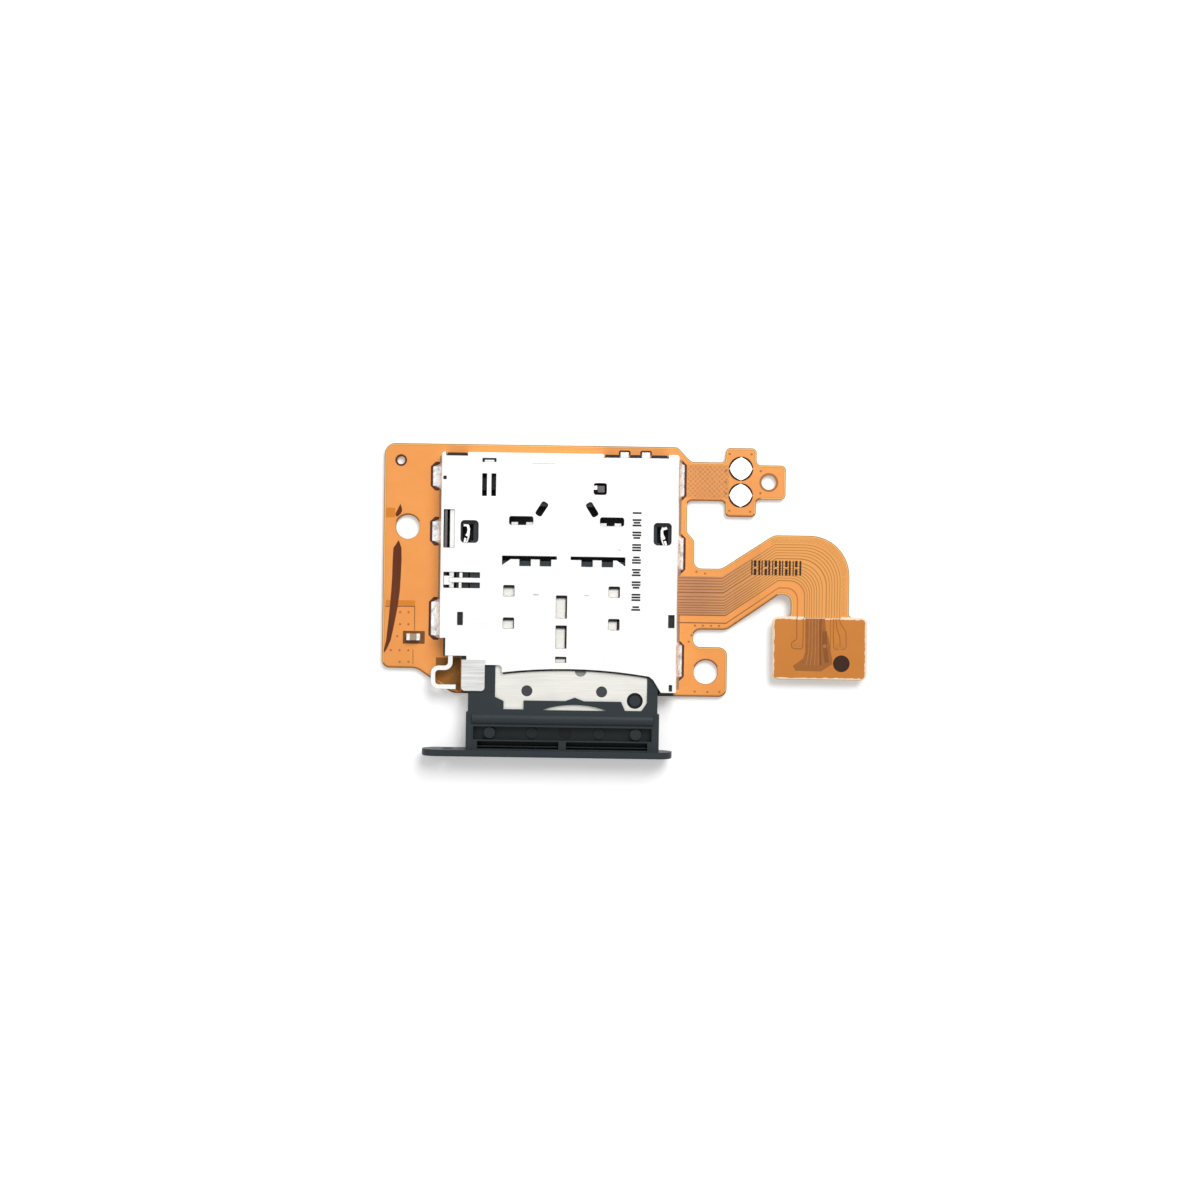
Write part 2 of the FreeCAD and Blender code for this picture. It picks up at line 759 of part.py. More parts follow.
def make_flex():
    """The flex: its plan outline, cut from a sheet that ramps up to the connector tab."""
    c = panel_corners()
    notch = [(notch_left, ear_rear), (notch_left, ribbon_front)]
    bends = [(front_bend, ribbon_front), (front_bend + d.ribbon_run, crest_front)]
    inner = (ribbon_inner, crest_front)
    tab = box_corners(tab_left, tab_front, tab_right, tab_rear)
    roots = [(ribbon_inner, tab_rear), (ribbon_outer, tab_rear)]
    outer = (ribbon_outer, crest_rear)
    rear_bends = [(rear_bend + d.ribbon_run, crest_rear), (rear_bend, ribbon_rear)]
    root_rear = (shoulder_right, ribbon_rear)
    shoulders = [(shoulder_right, shoulder_rear), (panel_right, shoulder_rear + d.shoulder_ramp)]
    neck_root = (panel_right, neck_front)
    head = [
        (head_left, neck_front),
        (head_left, head_front),
        (head_right, head_front),
        (head_right, nose_front),
        (nose_right, nose_front),
        (nose_right, nose_rear),
        (head_right, nose_rear),
        (head_right, d.panel_rear),
        (head_left, d.panel_rear),
        (head_left, neck_rear),
    ]
    corners = [c.wing, c.slope_top, c.slope_foot, c.ear_front, c.ear_rear, *notch, *bends, inner]
    corners += [roots[0], tab[3], tab[0], tab[1], tab[2], roots[1], outer, *rear_bends, root_rear]
    corners += [*shoulders, neck_root, *head, c.chamfer_foot, c.chamfer_top, c.rear_left]

    plan = new_body("flex_plan", kept=False)
    pad_box(plan, "plan", corners, ZERO, tab_top + flex_top)
    round_corners(plan, "panel", [c.wing, c.ear_front, c.ear_rear, c.chamfer_foot, c.chamfer_top],
                  d.panel_round)
    round_corners(plan, "rear_left", [c.rear_left], d.panel_rear_round)
    round_corners(plan, "slope", [c.slope_top, c.slope_foot], d.slope_round)
    round_corners(plan, "notch", [*notch, root_rear], d.notch_round)
    round_corners(plan, "bends", [bends[0], *rear_bends], d.ribbon_bend_round)
    round_corners(plan, "inner", [inner], d.ribbon_inner_round)
    round_corners(plan, "outer", [outer], d.ribbon_outer_round)
    round_corners(plan, "tab", tab, d.tab_round)
    round_corners(plan, "roots", [*roots, bends[1]], d.tab_root_round)
    round_corners(plan, "head", [*head, neck_root], d.head_round)
    round_corners(plan, "shoulders", shoulders, d.shoulder_round)
    cut_round(plan, "screws", [wing_hole, ear_hole], d.screw_hole_diameter, ZERO, tab_top + flex_top)
    cut_round(plan, "locating", [locating_hole], d.locating_hole_diameter, ZERO, tab_top + flex_top)
    cut_round(plan, "nose", [nose_hole], d.nose_hole_diameter, ZERO, tab_top + flex_top)

    sheet_body = new_body("flex_sheet", kept=False)
    split = (shoulder_rear + head_front) / 2
    left, right = -panel_left - d.panel_round, tab_right + d.panel_round
    front, rear = tab_front - d.panel_front, d.panel_rear + d.panel_round
    ramp_start = panel_right + d.ramp_start_lead
    ramp_end = ramp_start + d.ramp_run
    ramped = new_sketch(sheet_body, "ramped", "XZ_Plane", -split)
    lower = [(left, flex_bottom), (ramp_start, flex_bottom), (ramp_end, tab_bottom), (right, tab_bottom)]
    draw(ramped, lower + [(x, z + d.flex_thickness) for x, z in reversed(lower)])
    pad(sheet_body, ramped, split - front)
    pad_box(sheet_body, "flat", box_corners(left, split, right, rear), flex_bottom, flex_top)
    lands = new_sketch(sheet_body, "lands", lift=flex_top)
    for side in (1, -1):
        middle = ((head_left + head_right) / 2, neck_middle + d.land_pitch / 2 * side)
        draw_circle(lands, middle, d.land_diameter)
    pad(sheet_body, lands, d.land_thickness)

    flex = doc.addObject("Part::Common", "flex_circuit")
    flex.Label = "flex_circuit"
    flex.Base = plan
    flex.Tool = sheet_body
    pieces.append(flex)


def make_stiffeners():
    """The plate under the reader and the film on the connector tab."""
    c = panel_corners()
    sides = [(panel_right, ear_rear), (panel_right, neck_rear)]
    corners = [c.wing, c.slope_top, c.slope_foot, c.ear_front, c.ear_rear, *sides]
    corners += [c.chamfer_top, c.rear_left]
    body = new_body("reader_stiffener")
    pad_box(body, "plan", corners, ZERO, flex_bottom)
    round_corners(body, "panel", [c.wing, c.ear_front, c.ear_rear, *sides], d.panel_round)
    round_corners(body, "rear_left", [c.rear_left], d.panel_rear_round)
    round_corners(body, "slope", [c.slope_top, c.slope_foot], d.slope_round)
    cut_round(body, "screws", [wing_hole, ear_hole], d.screw_hole_diameter, ZERO, flex_bottom)
    cut_round(body, "locating", [locating_hole], d.locating_hole_diameter, ZERO, flex_bottom)

    inset = d.film_inset
    film = box_corners(tab_left + inset, tab_front + inset, tab_right - inset, tab_rear - inset)
    plate_piece("tab_film", film, tab_top, tab_top + d.film_thickness, d.tab_round)


def make_connector():
    """The board connector under the tab: a ringed housing, two contact rows and two nails."""
    x, y = tab_middle
    well_width = d.connector_width - d.connector_wall * 2
    well_length = d.connector_length - d.connector_wall * 2
    leg_bottom = tab_bottom - d.connector_contact_thickness
    first = x - d.connector_pitch * (d.connector_row_count - 1) / 2
    row_length = d.connector_pitch * (d.connector_row_count - 1)
    half = d.connector_contact_width / 2

    housing = new_body("connector_housing")
    outer = new_sketch(housing, "plan")
    draw_box(outer, tab_middle, d.connector_length, d.connector_width)
    pad(housing, outer, tab_bottom)
    well = new_sketch(housing, "well")
    draw_box(well, tab_middle, well_length, well_width)
    draw_box(well, tab_middle, d.connector_island_length, d.connector_island_width)
    pocket(housing, well, tab_bottom - d.connector_floor)

    for row, side in (("front", -1), ("rear", 1)):
        wall = y + well_width / 2 * side
        face = y + d.connector_width / 2 * side
        tail = face + d.connector_tail * side
        blade = wall - d.connector_contact_thickness * side
        leg = box_corners(first - half, blade, first + half, tail)
        slot = new_sketch(housing, f"slots_{row}", lift=leg_bottom)
        draw(slot, leg)
        cut = pocket(housing, slot, d.connector_contact_thickness)
        repeat(housing, cut, f"slots_{row}_row", row_length)
        rise = new_sketch(housing, f"rise_{row}", lift=tab_bottom - d.connector_floor)
        draw(rise, box_corners(first - half, blade, first + half, wall))
        cut = pocket(housing, rise, d.connector_floor)
        repeat(housing, cut, f"rise_{row}_row", row_length)

        contacts = new_body(f"connector_contacts_{row}")
        legs = pad_box(contacts, "leg", leg, leg_bottom, tab_bottom)
        blades = pad_box(contacts, "blade", box_corners(first - half, blade, first + half, wall),
                         d.connector_contact_lift, leg_bottom)
        repeat(contacts, [legs, blades], "row", row_length)

    for name, side in (("left", -1), ("right", 1)):
        face = x + d.connector_length / 2 * side
        nail = (face + d.nail_length / 2 * side, y)
        body = new_body(f"connector_nail_{name}")
        plan = new_sketch(body, "plan", lift=leg_bottom)
        draw_box(plan, nail, d.nail_length, d.nail_width)
        pad(body, plan, d.connector_contact_thickness)


def repeat(body, features, name, length):
    """Repeats features along X, once for each contact of a connector row."""
    originals = features if isinstance(features, list) else [features]
    pattern = body.newObject("PartDesign::LinearPattern", f"{body.Label}_{name}")
    pattern.Originals = originals
    axis = next(f for f in body.Origin.OriginFeatures if f.Role == "X_Axis")
    pattern.Direction = (axis, [""])
    pattern.setExpression("Length", length.text)
    pattern.setExpression("Occurrences", d.connector_row_count.text)
    body.Tip = pattern
    doc.recompute()


def sim_places():
    """Row middles of the six card contacts, named by column and row."""
    places = {}
    for column, side in (("left", -1), ("right", 1)):
        for row in range(SIZES["sim_row_count"]):
            x = d.sim_axis + d.sim_column_pitch / 2 * side
            y = -(d.sim_row + d.sim_row_pitch * row)
            places[f"{column}_{row + 1}"] = (x, y)
    return places


def rear_contact_lines():
    """Middle lines of the rear row's contacts, from left to right."""
    count = SIZES["rear_contact_count"]
    first = d.rear_contact_axis - d.rear_contact_pitch * (count - 1) / 2
    return [first + d.rear_contact_pitch * index for index in range(count)]


def make_contact(label, line, width, foot, crown, tip, drop):
    """A bent spring strip that rises from the flex to a crown below the tray, then drops to its tip."""
    strip = d.contact_thickness
    body = new_body(label)
    side = new_sketch(body, "side", "YZ_Plane", line - width / 2)
    start, end = foot
    tip_top = contact_crown - drop
    draw(side, [
        (start, flex_top),
        (end, flex_top),
        (crown, contact_crown - strip),
        (tip, tip_top - strip),
        (tip, tip_top),
        (crown, contact_crown),
        (end - strip / 2, flex_top + strip),
        (start, flex_top + strip),
    ])
    pad(body, side, width)


def make_contacts():
    """The six card contacts and the rear contact row."""
    for name, (line, row) in sim_places().items():
        foot = (row - d.sim_foot_back, row - d.sim_foot_back + d.sim_foot_length)
        make_contact(f"sim_contact_{name}", line, d.sim_contact_width, foot,
                     row + d.sim_crown_lead, row + d.sim_tip_lead, d.contact_tip_drop)
    foot = (d.rear_foot_start, d.rear_foot_start + d.rear_foot_length)
    for index, line in enumerate(rear_contact_lines(), start=1):
        make_contact(f"rear_contact_{index}", line, d.rear_contact_width, foot,
                     d.rear_crown, d.rear_tip, d.rear_tip_drop)


def rear_notch_spans():
    """Left and right ends of the two notches in the shell's rear edge."""
    return {
        "left": (-rear_notch_left, d.rear_notch_left_width - rear_notch_left),
        "right": (rear_notch_right, rear_notch_right + d.rear_notch_right_width),
    }


def make_base():
    """The insulator: contact windows in its floor, guides for tray and rod, and the pivot boss."""
    body = new_body("insulator_base")
    left_step = [(-tongue_left, -d.base_left_front), (-tongue_left, -d.base_front)]
    pad_box(body, "floor", [
        *left_step,
        (base_half, -d.base_front),
        (base_half, base_rear),
        (-base_half, base_rear),
        (-base_half, -d.base_left_front),
    ], flex_top, base_top)
    left_guide = [*left_step, (guide_left, -d.base_front), (guide_left, d.base_guide_rear)]
    left_guide += [(channel_inner, d.base_guide_rear), (channel_inner, -d.base_left_front)]
    walls = {
        "left_guide": left_guide,
        "outer_wall": box_corners(-base_half, -d.base_outer_wall_front, channel_outer, base_rear),
        "rear_wall": box_corners(channel_outer, base_rear_inner, base_half, base_rear),
        "right_guide": box_corners(guide_right, -d.base_front, base_half, d.base_guide_rear),
        "right_wall": box_corners(base_half - d.base_side_wall, d.base_guide_rear,
                                  base_half, base_rear_inner),
    }
    for name, corners in walls.items():
        pad_box(body, name, corners, base_top, wall_top)
    boss = new_sketch(body, "boss", lift=base_top)
    draw_circle(boss, (-d.pivot_line, d.pivot_row), d.pivot_boss_radius * 2)
    pad(body, boss, d.lever_lift)
    cut_round(body, "pivot", [(-d.pivot_line, d.pivot_row)], d.pivot_radius * 2, flex_top, lever_seat)

    sim_windows = new_sketch(body, "sim_windows", lift=flex_top)
    length = d.sim_foot_back + d.sim_tip_lead + d.contact_slack * 2
    shift = (d.sim_tip_lead - d.sim_foot_back) / 2
    for x, y in sim_places().values():
        draw_box(sim_windows, (x, y + shift), d.sim_contact_width + d.contact_slack * 2, length)
    pocket(body, sim_windows, d.base_thickness)
    rear_windows = new_sketch(body, "rear_windows", lift=flex_top)
    reach = d.rear_contact_width / 2 + d.rear_window_slack
    front, rear = d.rear_foot_start - d.rear_window_slack, d.rear_tip + d.rear_window_slack
    for x in rear_contact_lines():
        draw(rear_windows, box_corners(x - reach, front, x + reach, rear))
    pocket(body, rear_windows, d.base_thickness)

    for name, (left, right) in rear_notch_spans().items():
        lip = box_corners(left + d.rear_lip_side_gap, base_rear,
                          right - d.rear_lip_side_gap, d.shell_rear - d.rear_lip_inset)
        pad_box(body, f"rear_lip_{name}", lip, flex_top, wall_top)
    reach = d.detect_tail_width / 2 + d.detect_notch_side
    front = d.detect_post_row - d.detect_notch_side
    notches = new_sketch(body, "detect_notches", lift=flex_top)
    for line in (detect_spring_line, detect_contact_line):
        draw(notches, box_corners(line - reach, front, line + reach, d.shell_rear))
    pocket(body, notches, wall_top - flex_top)
    for name, wall, depth in (("left", guide_left, -d.latch_pocket_depth),
                              ("right", guide_right, d.latch_pocket_depth)):
        half = d.latch_pocket_length / 2
        lines = (wall + depth, wall) if depth.value < 0 else (wall, wall + depth)
        corners = box_corners(lines[0], d.latch_row - half, lines[1], d.latch_row + half)
        cut_box(body, f"latch_pocket_{name}", corners, base_top, wall_top)


def make_latches():
    """The two leaf springs on edge, each bowed towards the tray from its pocket."""
    chord = d.latch_pocket_length
    radius = chord * chord / (d.latch_rise * 8) + d.latch_rise / 2
    rear, front = d.latch_row + chord / 2, d.latch_row - chord / 2
    for name, edge, side in (("left", tray_left, -1), ("right", tray_right, 1)):
        crest = edge + d.latch_tray_gap * side
        near = crest + d.latch_rise * side
        far = near + d.latch_strip * side
        body = new_body(f"tray_latch_{name}")
        plan = new_sketch(body, "plan", lift=base_top)
        corners = [(near, front), (near, rear), (far, rear), (far, front)]
        bow = radius if side < 0 else -radius
        draw(plan, corners, {0: bow, 2: -bow})
        pad(body, plan, d.latch_height)


def make_detect_switch():
    """The tray detect switch: a slanted spring strip and a fixed contact, with tails on the flex."""
    strip = d.detect_strip
    top = flex_top + d.detect_top
    arm_bottom = flex_top + d.detect_arm_bottom
    half = d.detect_tail_width / 2
    row = d.detect_post_row
    tail_end = d.shell_rear + d.detect_tail_reach
    bodies = {}
    for name, line in (("detect_spring", detect_spring_line), ("detect_contact", detect_contact_line)):
        body = new_body(name)
        left, right = line - half, line + half
        pad_box(body, "tail", box_corners(left, row, right, tail_end), flex_top, flex_top + strip)
        pad_box(body, "post", box_corners(left, row, right, row + strip), flex_top, top)
        bodies[name] = body
    start = detect_spring_line + half - strip
    end = start + d.detect_arm_reach
    tip = d.tray_rear + d.detect_tray_gap
    arm = [(start, row + strip), (start, row), (end, tip), (end + strip, tip), (start + strip, row + strip)]
    pad_box(bodies["detect_spring"], "arm", arm, arm_bottom, top)


def shell_outline():
    """Plan corners of the shell, anticlockwise from its left front corner."""
    tongue_right = -(tongue_left - d.tongue_width)
    notch_right = tongue_right + d.front_notch_width
    relief_front = -(d.shell_left_front + d.relief_width)
    return SimpleNamespace(
        front_left=(-(shell_half - d.shell_step), -d.shell_left_front),
        relief=[(-relief_end, -d.shell_left_front), (-relief_end, relief_front)],
        tongue_root=(-tongue_left, relief_front),
        tongue=[(-tongue_left, -d.tongue_front), (tongue_right, -d.tongue_front)],
        notch=[(tongue_right, -d.front_notch_rear), (notch_right, -d.front_notch_rear)],
        arc=[(notch_right, -d.front_arc_left), (front_arc_right_end, -d.front_arc_right)],
        leg=[(leg_corner_start, -d.leg_corner_rear), (leg_corner_end, -d.shell_front)],
        front_right=(shell_half, -d.shell_front),
        rear=[(shell_half, d.shell_rear), (-shell_half, d.shell_rear)],
        step=[(-shell_half, -d.shell_step_front), (-(shell_half - d.shell_step), -d.shell_step_front)],
    )


def make_shell():
    """The stamped shell: a folded tray-shaped sheet with an open front, windows and spring fingers."""
    c = shell_outline()
    corners = [c.front_left, *c.relief, c.tongue_root, *c.tongue, *c.notch, *c.arc, *c.leg]
    corners += [c.front_right, *c.rear, *c.step]
    body = new_body("shield_shell")
    plan = new_sketch(body, "plan", lift=flex_top)
    draw(plan, corners, {corners.index(c.arc[0]): -d.front_arc_radius})
    pad(body, plan, shell_top - flex_top)
    bends = []
    for index, edge in enumerate(body.Tip.Shape.Edges, start=1):
        box = edge.BoundBox
        on_top = abs(box.ZMin - shell_top.value) < 1e-6
        on_side = abs(abs(box.XMin) - shell_half.value) < 1e-6 and box.XLength < 1e-6
        on_rear = abs(box.YMin - d.shell_rear.value) < 1e-6
        if on_top and (on_side or on_rear):
            bends.append(f"Edge{index}")
    bends += upright_edges(body.Tip.Shape, c.rear)
    round_edges(body, "bends", bends, d.shell_bend)
    round_corners(body, "front", [*c.tongue, *c.leg[:1], c.notch[1]], d.edge_round)
    hollow = box_corners(-shell_inner, -d.shell_front - d.tongue_front, shell_inner, shell_inner_rear)
    cut_box(body, "hollow", hollow, flex_top, roof)
    cut_shell_windows(body)
    cut_rear_notches(body)


def cut_rear_notches(body):
    """The two notches of the rear edge, through the roof and the rear wall."""
    front = d.shell_rear - d.rear_notch_depth
    for name, (left, right) in rear_notch_spans().items():
        notch = box_corners(left, front, right, d.panel_rear)
        cut_box(body, f"rear_notch_{name}", notch, flex_top, shell_top)


def cut_windows(body, name, outlines, radius=None):
    """Cuts window outlines through the roof and rounds their corners where a radius is given."""
    sketch = new_sketch(body, name, lift=roof)
    for corners in outlines:
        draw(sketch, corners)
    pocket(body, sketch, d.sheet_thickness)
    if radius:
        corners = [corner for outline in outlines for corner in outline]
        round_corners(body, f"{name}_round", corners, radius)


def about(x, y, width, length):
    """Corners of a window about its middle."""
    return box_corners(x - width / 2, y - length / 2, x + width / 2, y + length / 2)


def middle_slot(side, tongue):
    """A bar-shaped slot with two tongues towards the front and a wedge at its outer end."""
    axis = d.middle_slot_axis + d.middle_slot_offset * side
    outer = axis + d.middle_slot_length / 2 * side
    inner = axis - d.middle_slot_length / 2 * side
    rear = d.middle_slot_rear
    front = rear - d.middle_slot_bar
    foot = front - d.middle_tongue_depth
    half = d.middle_tongue_width / 2
    tongues = [tongue, tongue + d.middle_tongue_pitch]
    run = [(outer, rear), (outer, rear - d.middle_end_depth), (outer - d.middle_end_run * side, front)]
    for line in tongues if side < 0 else reversed(tongues):
        run += [(line + half * side, front), (line + half * side, foot)]
        run += [(line - half * side, foot), (line - half * side, front)]
    return run + [(inner, front), (inner, rear)]


def slanted_slot(side):
    """A leaning slot with square ends."""
    x = d.slant_axis + d.slant_offset * side
    lean, rise = d.slant_run / 2 * side, d.slant_rise / 2
    across, drop = d.slant_side_run / 2, d.slant_side_rise / 2 * side
    return [
        (x + lean - across, d.slant_row - rise - drop),
        (x + lean + across, d.slant_row - rise + drop),
        (x - lean + across, d.slant_row + rise + drop),
        (x - lean - across, d.slant_row + rise - drop),
    ]


def cut_shell_windows(body):
    """Every window and slit of the roof."""
    probes = []
    for side in (-1, 1):
        for row in (d.probe_row, d.probe_row + d.probe_row_pitch):
            line = d.sim_axis + d.probe_pitch / 2 * side
            probes.append(about(line, -row, d.probe_window, d.probe_window))
    cut_windows(body, "probe_windows", probes, d.window_round)

    width, length = d.centre_slot_width, d.centre_slot_length
    column = d.centre_column
    second = d.centre_slot_rear + d.centre_slot_pitch
    cut_windows(body, "centre_slots", [
        about(column, -d.centre_slot_rear, width, length),
        about(column, -second, width, length),
        about(column, -d.centre_end_slot, width, d.centre_end_length),
    ])
    middles = [middle_slot(-1, -d.middle_tongue_left), middle_slot(1, d.middle_tongue_right)]
    cut_windows(body, "middle_slots", middles)
    tips = [about(d.tip_slot_axis + d.tip_slot_offset * side, d.tip_slot_row,
                  d.tip_slot_length, d.tip_slot_width) for side in (-1, 1)]
    cut_windows(body, "tip_slots", [*tips, slanted_slot(-1), slanted_slot(1)], d.slot_round)
    latches = [about(latch_window_axis + latch_window_offset * side, d.latch_row,
                     d.latch_window_width, d.latch_window_length) for side in (-1, 1)]
    cut_windows(body, "latch_windows", latches, d.latch_window_round)
    cut_windows(body, "lever_window", [
        about(d.lever_window_line, d.lever_window_row, d.lever_window_length, d.lever_window_width),
    ], d.slot_round)
    cut_windows(body, "side_windows", [
        about(-rod_window_line, d.rod_window_row, d.rod_window_width, d.rod_window_length),
        about(-small_slot_line, -d.small_slot_row, d.small_slot_width, d.small_slot_length),
        about(right_slot_line, -d.small_slot_row, d.right_slot_width, d.small_slot_length),
        about(right_slot_line, -d.leg_slot_row, d.leg_slot_width, d.leg_slot_length),
    ])
    slits = [about(-d.rear_finger_line + d.rear_finger_pitch / 2 * side, d.rear_finger_row,
                   d.rear_finger_slit, d.rear_finger_length) for side in (-1, 1)]
    end = about(-d.rear_finger_line, d.rear_finger_end,
                d.rear_finger_pitch + d.rear_finger_slit, d.rear_finger_end_slit)
    cut_windows(body, "rear_finger", [*slits, end])
    outer = -(side_finger_inner + d.side_finger_length)
    half = d.side_finger_width / 2
    far = half + d.side_finger_slit
    row = -d.side_finger_row
    root = outer + d.side_finger_slit
    cut_windows(body, "side_finger", [[
        (outer, row - far), (-side_finger_inner, row - far), (-side_finger_inner, row - half),
        (root, row - half), (root, row + half), (-side_finger_inner, row + half),
        (-side_finger_inner, row + far), (outer, row + far),
    ]])


def make_solder():
    """The six solder fillets between the shell's side walls and the flex."""
    left = {
        "rear": (d.solder_left_rear_row, d.solder_left_length),
        "middle": (d.solder_left_middle_row, d.solder_left_length),
        "front": (-d.solder_left_front_row, d.solder_left_front_length),
    }
    right = {
        "rear": (d.solder_right_rear_row, d.solder_right_length),
        "middle": (d.solder_right_middle_row, d.solder_right_length),
        "front": (-d.solder_right_front_row, d.solder_right_length),
    }
    for side, sign, reach, rows in (("left", -1, d.solder_left_reach, left),
                                    ("right", 1, d.solder_right_reach, right)):
        wall = shell_half * sign
        foot = wall + reach * sign
        for name, (row, length) in rows.items():
            body = new_body(f"solder_{side}_{name}")
            profile = new_sketch(body, "profile", "XZ_Plane", -(row + length / 2))
            corners = [(wall, flex_top), (foot, flex_top), (wall, flex_top + d.solder_height)]
            draw(profile, corners, {1: (reach + d.solder_height) * -sign})
            pad(body, profile, length)
            ends = [(foot, row - length / 2), (foot, row + length / 2)]
            cut_low_ends(body, ends, d.solder_corner)


def cut_low_ends(body, places, size):
    """Cuts off the sloping end edges that rise from the given places on the flex."""
    names = []
    for index, edge in enumerate(body.Tip.Shape.Edges, start=1):
        points = [vertex.Point for vertex in edge.Vertexes]
        touches = any(math.dist(p[:2], (x.value, y.value)) < 1e-5 for p in points for x, y in places)
        if touches and abs(points[0].z - points[-1].z) > 1e-3:
            names.append(f"Edge{index}")
    base = body.Tip
    feature = body.newObject("PartDesign::Chamfer", f"{body.Label}_ends")
    feature.Base = (base, names)
    feature.setExpression("Size", size.text)
    doc.recompute()


def make_capacitor():
    """The chip capacitor: a ceramic block between two tinned ends."""
    x, y = -capacitor_line, -d.capacitor_row
    half, side = d.capacitor_length / 2, d.capacitor_width / 2
    core = half - d.capacitor_terminal
    spans = {
        "capacitor_body": (x - core, x + core),
        "capacitor_end_left": (x - half, x - core),
        "capacitor_end_right": (x + core, x + half),
    }
    for label, (start, end) in spans.items():
        body = new_body(label)
        corners = box_corners(start, y - side, end, y + side)
        pad_box(body, "plan", corners, flex_top, flex_top + d.capacitor_width)
        outer = {"capacitor_end_left": corners[0::3], "capacitor_end_right": corners[1:3]}.get(label)
        if outer:
            round_corners(body, "round", outer, d.capacitor_round)


def make_push_rod():
    """The push rod: a strip on edge, bent to a hook whose front bar takes the eject pin."""
    right, left = -rod_line + rod_half, -rod_line - rod_half
    lateral, front = -d.hook_lateral_row, -d.hook_front_row
    outer, end = -hook_outer_line, -hook_end_line
    nose = (d.pivot_row - lever_left_arm * math.sin(math.radians(SIZES["lever_rest_angle"])))
    rear = nose - d.lever_left_nose - d.rod_lever_gap
    inside = [(left, lateral + rod_half), (outer + rod_half, lateral - rod_half),
              (outer + rod_half, front + rod_half)]
    outside = [(right, lateral - rod_half), (outer - rod_half, lateral + rod_half),
               (outer - rod_half, front - rod_half)]
    corners = [(right, rear), outside[0], inside[1], inside[2], (end, front + rod_half)]
    corners += [(end, front - rod_half), outside[2], outside[1], inside[0], (left, rear)]
    bottom = base_top + d.rod_floor_gap
    body = new_body("push_rod")
    pad_box(body, "plan", corners, bottom, bottom + d.rod_height)
    round_corners(body, "inside", inside, d.hook_inner_round)
    round_corners(body, "outside", outside, d.hook_inner_round + d.rod_strip)


def make_lever():
    """The eject lever, drawn about its pivot and turned to its rest angle, and its rivet."""
    body = new_body("eject_lever")
    waist, left, right = d.lever_waist / 2, d.lever_left_nose, d.lever_right_nose
    hub = d.lever_hub_radius
    arms = new_sketch(body, "arms")
    draw(arms, [
        (-lever_left_arm, -left),
        (-hub, -waist),
        (hub, -waist),
        (d.lever_right_arm, -right),
        (d.lever_right_arm, right),
        (hub, waist),
        (-hub, waist),
        (-lever_left_arm, left),
    ])
    pad(body, arms, d.lever_strip)
    middle = new_sketch(body, "hub")
    draw_circle(middle, None, hub * 2)
    pad(body, middle, d.lever_strip)
    cut_round(body, "hole", [None], (d.pivot_radius + d.pivot_clearance) * 2, ZERO, d.lever_strip)
    round_corners(body, "left_nose", [(-lever_left_arm, -left), (-lever_left_arm, left)],
                  d.lever_nose_round)
    round_corners(body, "right_nose", [(d.lever_right_arm, -right), (d.lever_right_arm, right)],
                  d.lever_nose_round)
    for axis, size in (("x", -d.pivot_line), ("y", d.pivot_row), ("z", lever_bottom)):
        body.setExpression(f"Placement.Base.{axis}", size.text)
    body.setExpression("Placement.Rotation.Angle", f"{d.lever_rest_angle.text} * 1 deg")

    rivet = new_body("lever_rivet")
    middle = (-d.pivot_line, d.pivot_row)
    shank = new_sketch(rivet, "shank", lift=flex_top)
    draw_circle(shank, middle, d.pivot_radius * 2)
    pad(rivet, shank, lever_top + d.lever_gap - flex_top)
    head = new_sketch(rivet, "head", lift=lever_top + d.lever_gap)
    draw_circle(head, middle, d.pivot_head_radius * 2)
    pad(rivet, head, d.pivot_head_height)


def plate_corners():
    """Plan of the tray's steel plate, gripped by the rails and the front block."""
    left = -opening_left - d.plate_side_grip
    right = opening_right + d.plate_side_grip
    return box_corners(left, -d.plate_front, right, d.sim_pocket_rear)


def opening_corners():
    """Plan of the opening in the tray's skin that shows the plate."""
    flare = d.opening_notch_flare
    notch, front, shoulder = -d.opening_notch_front, -d.opening_front, -d.opening_shoulder
    return [
        (-opening_left, d.sim_pocket_rear),
        (-opening_left, shoulder + flare),
        (-left_notch_outer, shoulder),
        (-left_notch_outer, notch),
        (-left_notch_inner, notch),
        (-left_notch_inner, front),
        (d.lens_axis - d.opening_peak_half, front),
        (d.lens_axis, -d.opening_peak),
        (d.lens_axis + d.opening_peak_half, front),
        (right_notch_inner - flare, front),
        (right_notch_inner, notch),
        (right_notch_outer, notch),
        (opening_right, shoulder),
        (opening_right, d.sim_pocket_rear),
    ]


def make_tray_plate():
    """The steel plate above the card, with its three holes and a pressed dimple."""
    body = new_body("tray_plate")
    pad_box(body, "plan", plate_corners(), plate_bottom, plate_top)
    holes = [(-d.plate_hole_left, -d.plate_hole_row), (d.plate_hole_right, -d.plate_hole_row)]
    cut_round(body, "holes", holes, d.plate_hole_diameter, plate_bottom, plate_top)
    large = [(plate_large_hole_line, -d.plate_large_hole_row)]
    cut_round(body, "large_hole", large, d.plate_large_hole_diameter, plate_bottom, plate_top)
    dimple = [(d.dimple_line, -d.dimple_row)]
    cut_round(body, "dimple", dimple, d.dimple_diameter, plate_top - d.dimple_depth, plate_top)


